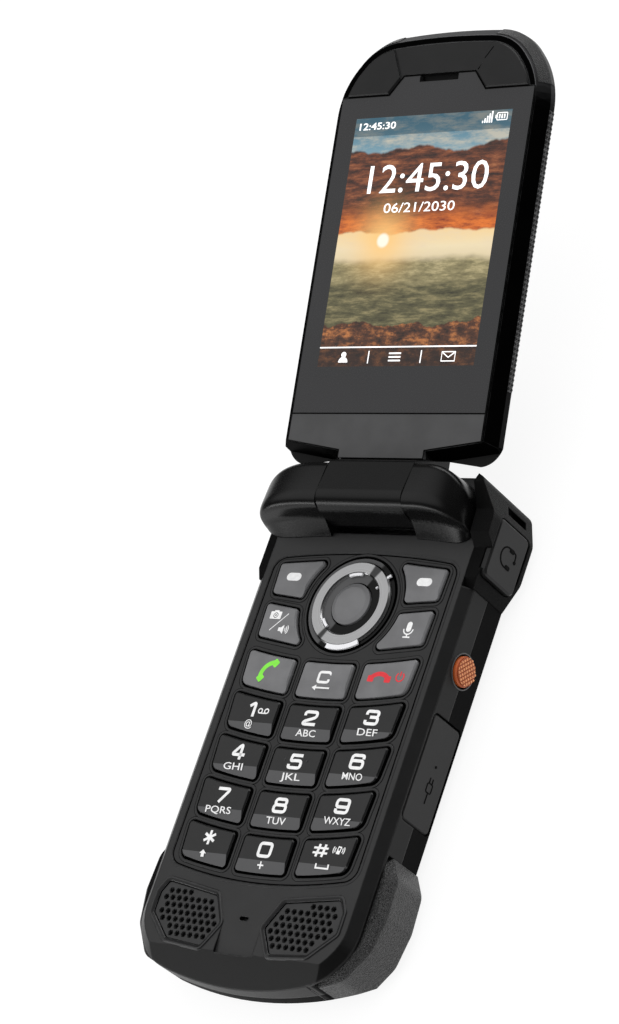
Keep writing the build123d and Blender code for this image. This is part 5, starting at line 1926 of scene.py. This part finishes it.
        # the pyramids' pale edges are mostly a painted highlight
        rubber = Moulded("grip_rubber", grey(0.012), 0.4, edge_wear_and_highlight_colour=grey(0.35), edge_wear_and_highlight_gain=4.0,
                         edge_radius=0.16 * MM).build()
        length = self.grip_end - self.grip_start
        reach = self.half_width - KNURL_PLATE
        for name, side in (("right", 1.0), ("left", -1.0)):
            strip = knurl(length, self.grip_width, (int(length / self.grip_pitch), 2), self.grip_rise)
            turn = Matrix(((0, 0, side, 0), (1, 0, 0, 0), (0, side, 0, 0), (0, 0, 0, 1)))
            middle = Vector((side * reach, self.grip_start + length / 2, self.grip_height))
            place = LID.matrix() @ Matrix.Translation(middle * MM) @ turn
            dress(settle(strip, f"lid_grip_{name}", place), "lid", rubber)


# ------------------------------------------------------------------ hinge covers
@dataclass(frozen=True)
class HingeCover:
    """One glossy cap beside the barrel: its section carried along X and rounded down at its outer end."""

    node: str
    side: float
    end: float
    roundness: float
    start: float = 10.87
    round_from: float = 13.0
    foot: float = 40.5
    front: float = 43.6
    back: float = 54.1
    base: float = 14.6
    top: float = 23.85
    end_top: float = 16.6
    end_back: float = 45.0
    foot_taper: float = 1.0
    foot_curl: float = 2.2
    foot_radius: float = 0.3
    front_taper: float = 1.1
    front_lean: float = 0.7
    waist_share: float = 0.45
    waist_radius: float = 0.8
    crease_rise: float = 0.1
    crease_radius: float = 3.4
    crease_share: float = 0.6
    back_lean: float = 0.6
    back_drop: float = 0.7
    back_radius: float = 1.6
    base_radius: float = 0.1
    steps: int = 40
    bore_axis: Spot = (48.85, 17.45)
    bore_radius: float = 2.0
    bore_span: Spot = (10.0, 17.3)

    def section(self, x: float) -> Loop:
        """The outline at a distance from the middle, as Y and Z.

        Args:
            x: the distance.

        Returns:
            A closed outline that always has the same number of corners.
        """
        share = max(0.0, (x - self.round_from) / (self.end - self.round_from))
        full = max(0.0, 1.0 - share**self.roundness) ** (1.0 / self.roundness)
        top = self.end_top + (self.top - self.end_top) * full
        back = self.end_back + (self.back - self.end_back) * full
        foot = self.foot - self.foot_taper * share + self.foot_curl * share**8
        front = self.front - self.front_taper * share**2
        waist = self.base + self.waist_share * (top - self.base)
        corners = [(foot, self.base), (front - self.front_lean, waist), (front, top + self.crease_rise)]
        corners += [(back - self.back_lean, top - self.back_drop * full), (back, self.base)]
        crease = min(self.crease_radius, self.crease_share * (top - waist))
        back_round = self.back_radius * max(full, 0.2)
        radii = (self.foot_radius, self.waist_radius, crease, back_round, self.base_radius)
        outline: Loop = []
        for i, radius in enumerate(radii):
            neighbours = [corners[i - 1], corners[i], corners[(i + 1) % len(corners)]]
            outline += rounded(neighbours, radius, steps=9)[1:-1]
        return outline

    def build(self, finish: Material) -> None:
        """Makes the cap in place of its plain node.

        Args:
            finish: its material.
        """
        turns = [0.5 * math.pi * i / self.steps for i in range(self.steps + 1)]
        stations = [self.start + (self.end - self.start) * math.sin(turn) for turn in turns]
        cap = lofted([[(self.side * x, y, z) for y, z in self.section(x)] for x in stations], True)
        self.cut_bore(cap)
        piece = settle(cap, f"{self.node}_shell", Matrix.Identity(4))
        dress(smooth(piece, 38.0), "base", finish)
        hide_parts(self.node)

    def cut_bore(self, cap: Piece) -> None:
        """Cuts the blind hole for the hinge pin from the inner end.

        Args:
            cap: the closed cap, in millimetres.
        """
        start, end = self.bore_span
        deselect()
        bpy.ops.mesh.primitive_cylinder_add(
            vertices=48, radius=self.bore_radius, depth=end - start, rotation=(0.0, math.radians(90.0), 0.0),
            location=(self.side * (start + end) / 2, *self.bore_axis),
        )
        carve(cap, bpy.context.object, "DIFFERENCE")


HINGE_COVERS = (
    HingeCover("hinge_cover_left", -1.0, 28.0, 2.6),
    HingeCover("hinge_cover_right", 1.0, 24.0, 2.2),
)


# ------------------------------------------------------------------ sides and chin
@dataclass
class Sides:
    """The button's knurled face and the marks on the side covers."""

    button: Spot = (15.5, 8.3)
    button_radius: float = 2.8
    knurl_size: float = 6.8
    knurl_cells: int = 9
    knurl_rise: float = 0.34
    lip_radius: float = 3.55
    lip: Bead = (0.0, -0.05, 0.2)
    wall: float = 27.0
    emboss: float = 0.12
    plug: Spot = (-8.6, 7.0)
    plug_dot: Spot = (-4.2, 7.0)
    headset: Spot = (39.9, 9.4)

    def build(self) -> None:
        """Makes all trim of the sides."""
        self.button_face()
        self.button_ring()
        self.cover_marks()

    def on_wall(self, x: float, y: float = 0.0, z: float = 0.0) -> Matrix:
        """A frame on the right side wall, Y to the right and Z up, at a place in millimetres."""
        turn = Matrix(((0, 0, 1, 0), (1, 0, 0, 0), (0, 1, 0, 0), (0, 0, 0, 1)))
        return Matrix.Translation((x * MM, y * MM, z * MM)) @ turn

    def button_face(self) -> None:
        """A round field of small pyramids in two crossing directions."""
        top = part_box("side_button")[1].x / MM
        # dark orange painted into the grooves as shade, pale orange on the points as a painted highlight
        orange = Knurled("knurl_orange", (0.32, 0.055, 0.012), (1.0, 0.45, 0.2), top * MM, 0.28 * MM).build()
        field = knurl(self.knurl_size, self.knurl_size, (self.knurl_cells, self.knurl_cells), self.knurl_rise)
        field.rotation_euler = (0.0, 0.0, math.radians(45.0))
        pick_up(field)
        bpy.ops.object.transform_apply(location=False, rotation=True, scale=False)
        bpy.ops.mesh.primitive_cylinder_add(vertices=48, radius=self.button_radius, depth=4.0)
        carve(field, bpy.context.object, "INTERSECT")
        place = self.on_wall(top - KNURL_PLATE, *self.button)
        dress(settle(field, "button_knurl", place), "side_button", orange)

    def button_ring(self) -> None:
        """A rounded lip round the button's opening."""
        lip = Moulded("lip_grey", grey(0.06), 0.3, grain_height=0.001 * MM).build()
        loop = arc(0.0, 0.0, self.lip_radius, 0, 352.5, 47)
        place = self.on_wall(self.wall, *self.button)
        piece = settle(level_bead(loop, 0.0, *self.lip), "button_lip", place)
        dress(smooth(piece, 60.0), "base", lip)

    def cover_marks(self) -> None:
        """Embossed signs on the two side covers."""
        rubber = Moulded("emboss_black", grey(0.0005), 0.6, specular=0.05, edge_wear_and_highlight_gain=0.0).build()
        usb, head = (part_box(node)[1].x / MM for node in ("usb_cover", "headset_cover"))
        plug = inked(Symbols.charging_plug(0.0, 0.0), self.on_wall(usb, *self.plug), self.emboss)
        dot = flat_shape([arc(0, 0, 0.3, 0, 345, 14)], self.emboss)
        plug.append(settle(dot, "dot", self.on_wall(usb, *self.plug_dot)))
        dress(merge(plug, "usb_cover_mark"), "usb_cover", rubber)
        bow = moved_all(Symbols.headset(0.0, 0.0), 0.0, 0.0, 1.2)
        ears = inked(bow, self.on_wall(head, *self.headset), self.emboss)
        dress(merge(ears, "headset_cover_mark"), "headset_cover", rubber)


@dataclass
class Chin:
    """Raised frames round the loudspeaker grilles, and black rims of painted shade round their holes."""

    level: float = 14.6
    frame_section: tuple[Spot, ...] = ((0.18, -0.1), (0.3, 0.02), (0.75, 0.26), (1.0, 0.24), (1.25, -0.1))
    hole_section: tuple[Spot, ...] = ((-0.02, -0.2), (-0.02, 0.015), (0.13, 0.015), (0.13, -0.2))

    def build(self) -> None:
        """Makes the frames and rims."""
        # the frames' pale edges are mostly a painted highlight
        finish = Moulded("frame_black", grey(0.012), 0.36, edge_wear_and_highlight_colour=grey(0.22), edge_wear_and_highlight_gain=3.0,
                         edge_radius=0.14 * MM).build()
        # black rims round the holes: painted shade
        shade = Moulded("hole_painted_shade", grey(0.001), 0.8, specular=0.05, edge_wear_and_highlight_gain=0.0).build()
        place = Matrix.Identity(4)
        frames, rims = [], []
        for node in ("speaker_grille_left", "speaker_grille_right"):
            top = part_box(node)[1].z / MM
            *holes, outer = outlines(node, place, top)
            frames.append(settle(band(outer, self.frame_section, self.level), "frame", place))
            rims += [settle(band(hole, self.hole_section, top), "rim", place) for hole in holes]
        dress(merge(frames, "grille_frames"), "base", finish)
        dress(merge(rims, "grille_hole_shade_rims"), "base", shade)


# ------------------------------------------------------------------ finishes of the frame's nodes
# edge colours and gains below give rubbed wear and a painted highlight along the edges
NODE_FINISHES: tuple[tuple[Moulded, tuple[str, ...]], ...] = (
    # front case: painted shade on faces that lean towards the chin, and on its walls and chamfer
    (Moulded("case_black", grey(0.012), 0.42, specular=0.46, edge_radius=0.5 * MM,
             painted_facet_tone=grey(0.003), painted_facet_range=(-0.15, -0.3, -2.0, -1.5),
             painted_wall_shade=grey(0.005), painted_wall_range=(0.9, 0.5), wall_gloss=0.4), ("front_case",)),
    (Moulded("rear_case_black", grey(0.004), 0.6, specular=0.04, edge_radius=0.4 * MM, edge_wear_and_highlight_gain=0.4),
     ("rear_case",)),
    # lid inner case: painted light, paler on faces that lean towards the lid's top end
    (Moulded("lid_black", grey(0.0008), 0.3, grain_height=0.003 * MM, specular=0.005,
             edge_radius=0.25 * MM, painted_facet_tone=grey(0.05), painted_facet_range=(-0.15, 0.35, -2.0, -1.5)),
     ("lid_inner_case",)),
    (Moulded("lid_back_black", grey(0.005), 0.42, specular=0.12), ("lid_outer_case",)),
    (Moulded("battery_cover_black", grey(0.01), 0.46), ("battery_cover",)),
    (Moulded("panel_grey", grey(0.011), 0.44, grain_size=0.1 * MM, specular=0.42), ("keypad_panel",)),
    (Moulded("lower_panel_grey", grey(0.047), 0.4, grain_size=0.09 * MM), ("lower_panel",)),
    (Moulded("cover_grey", grey(0.008), 0.42, specular=0.25), ("earpiece_cover",)),
    (Moulded("barrel_gloss", grey(0.003), 0.28, grain_height=0.001 * MM, specular=0.22, edge_radius=0.15 * MM,
             edge_wear_and_highlight_gain=0.0), ("hinge_barrel",)),
    (Moulded("corner_rubber", grey(0.015), 0.42, 0.55 * MM, 0.16 * MM, Grain.LEATHER, specular=0.8,
             edge_radius=0.8 * MM, edge_wear_and_highlight_gain=0.4), ("corner_bumper_right",)),
    # left corner bumper: a darker copy of the corner rubber, painted shade
    (Moulded("painted_shade_rubber", grey(0.002), 0.5, 0.55 * MM, 0.1 * MM, Grain.LEATHER, specular=0.15,
             edge_radius=0.8 * MM, edge_wear_and_highlight_gain=0.2), ("corner_bumper_left",)),
    (Moulded("shoulder_rubber", grey(0.002), 0.45, 0.3 * MM, 0.02 * MM, Grain.LEATHER, specular=0.07,
             edge_radius=0.4 * MM, edge_wear_and_highlight_gain=0.4), ("shoulder_bumper_left", "shoulder_bumper_right")),
    (Moulded("pad_rubber", grey(0.013), 0.42, 0.4 * MM, 0.09 * MM, Grain.LEATHER, specular=0.6,
             edge_radius=0.3 * MM, edge_wear_and_highlight_gain=0.8), ("lid_pad_left", "lid_pad_right")),
    (Moulded("flap_rubber", grey(0.008), 0.45, specular=0.3), ("usb_cover", "headset_cover")),
    (Moulded("button_orange", (0.5, 0.1, 0.02), 0.45, edge_wear_and_highlight_colour=(0.9, 0.4, 0.2)), ("side_button",)),
    # number keys: painted highlight on their lower facets, painted shade on their side walls
    (Moulded("number_black", grey(0.009), 0.36, grain_size=0.09 * MM, specular=0.4, painted_facet_tone=grey(0.078),
             painted_wall_shade=grey(0.001), edge_wear_and_highlight_colour=grey(0.2), edge_wear_and_highlight_gain=2.2),
     tuple(f"key_{name}" for name in "0123456789") + ("key_star", "key_hash")),
    (Moulded("function_grey", grey(0.16), 0.38, grain_size=0.09 * MM, edge_wear_and_highlight_colour=grey(0.4)),
     ("send_key", "clear_key", "end_key", "soft_key_left", "soft_key_right", "camera_key", "microphone_key")),
    (Moulded("ok_grey", grey(0.15), 0.34, grain_size=0.09 * MM, edge_wear_and_highlight_colour=grey(0.3)), ("ok_key",)),
    (Moulded("grille_black", grey(0.018), 0.44), ("speaker_grille_left", "speaker_grille_right")),
    (Moulded("inner_black", grey(0.003), 0.7, specular=0.2),
     ("speakers", "earpiece", "main_display", "keypad_mat")),
    (Moulded("board_green", (0.01, 0.06, 0.03), 0.5), ("main_board",)),
    (Moulded("wrap_grey", grey(0.2), 0.5), ("battery",)),
    (Moulded("volume_black", grey(0.012), 0.4), ("volume_up_key", "volume_down_key", "cover_lock")),
    (Moulded("window_gloss", grey(0.004), 0.08, grain_height=0.0005 * MM), ("outer_window", "camera_lens")),
    (Moulded("steel", grey(0.5), 0.3, metallic=1.0), ("hinge_pin", "hinge_spring_unit", "usb_socket")),
    (Moulded("screw_steel", grey(0.12), 0.35, metallic=1.0), ("case_screws",)),
    (Moulded("socket_black", grey(0.01), 0.4), ("headset_socket",)),
)


def dress_nodes() -> None:
    """Gives every node of the frame its finish."""
    for finish, names in NODE_FINISHES:
        material = finish.build()
        for name in names:
            paint(frame["nodes"][name], material)
    centre = (RING_CENTRE[0] * MM, RING_CENTRE[1] * MM)
    brushed = Brushed("brushed_ring", centre, 6.7 * MM, 9.3 * MM)
    window = Window("display_glass", 19.8 * MM, 26.1 * MM, 52.8 * MM)
    paint(frame["nodes"]["nav_ring"], brushed.build())
    paint(frame["nodes"]["display_glass"], window.build())


def main() -> None:
    """Builds the studio and dresses the phone."""
    logging.basicConfig(level=logging.INFO, format="%(message)s")
    GROUPS[Grain.FINE.value] = make_grain_group()
    GROUPS[Grain.LEATHER.value] = make_leather_group()
    GROUPS[EDGE_WEAR_AND_HIGHLIGHT] = make_wear_and_highlight_group()
    Studio().build()
    dress_nodes()
    Keypad().build()
    Lid().build()
    Sides().build()
    Chin().build()
    gloss = Moulded("cover_gloss", grey(0.003), 0.27, grain_height=0.001 * MM, specular=0.24, edge_wear_and_highlight_gain=0.0,
                    edge_radius=0.2 * MM).build()
    for cover in HINGE_COVERS:
        cover.build(gloss)
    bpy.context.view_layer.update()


if __name__ == "__main__":
    main()
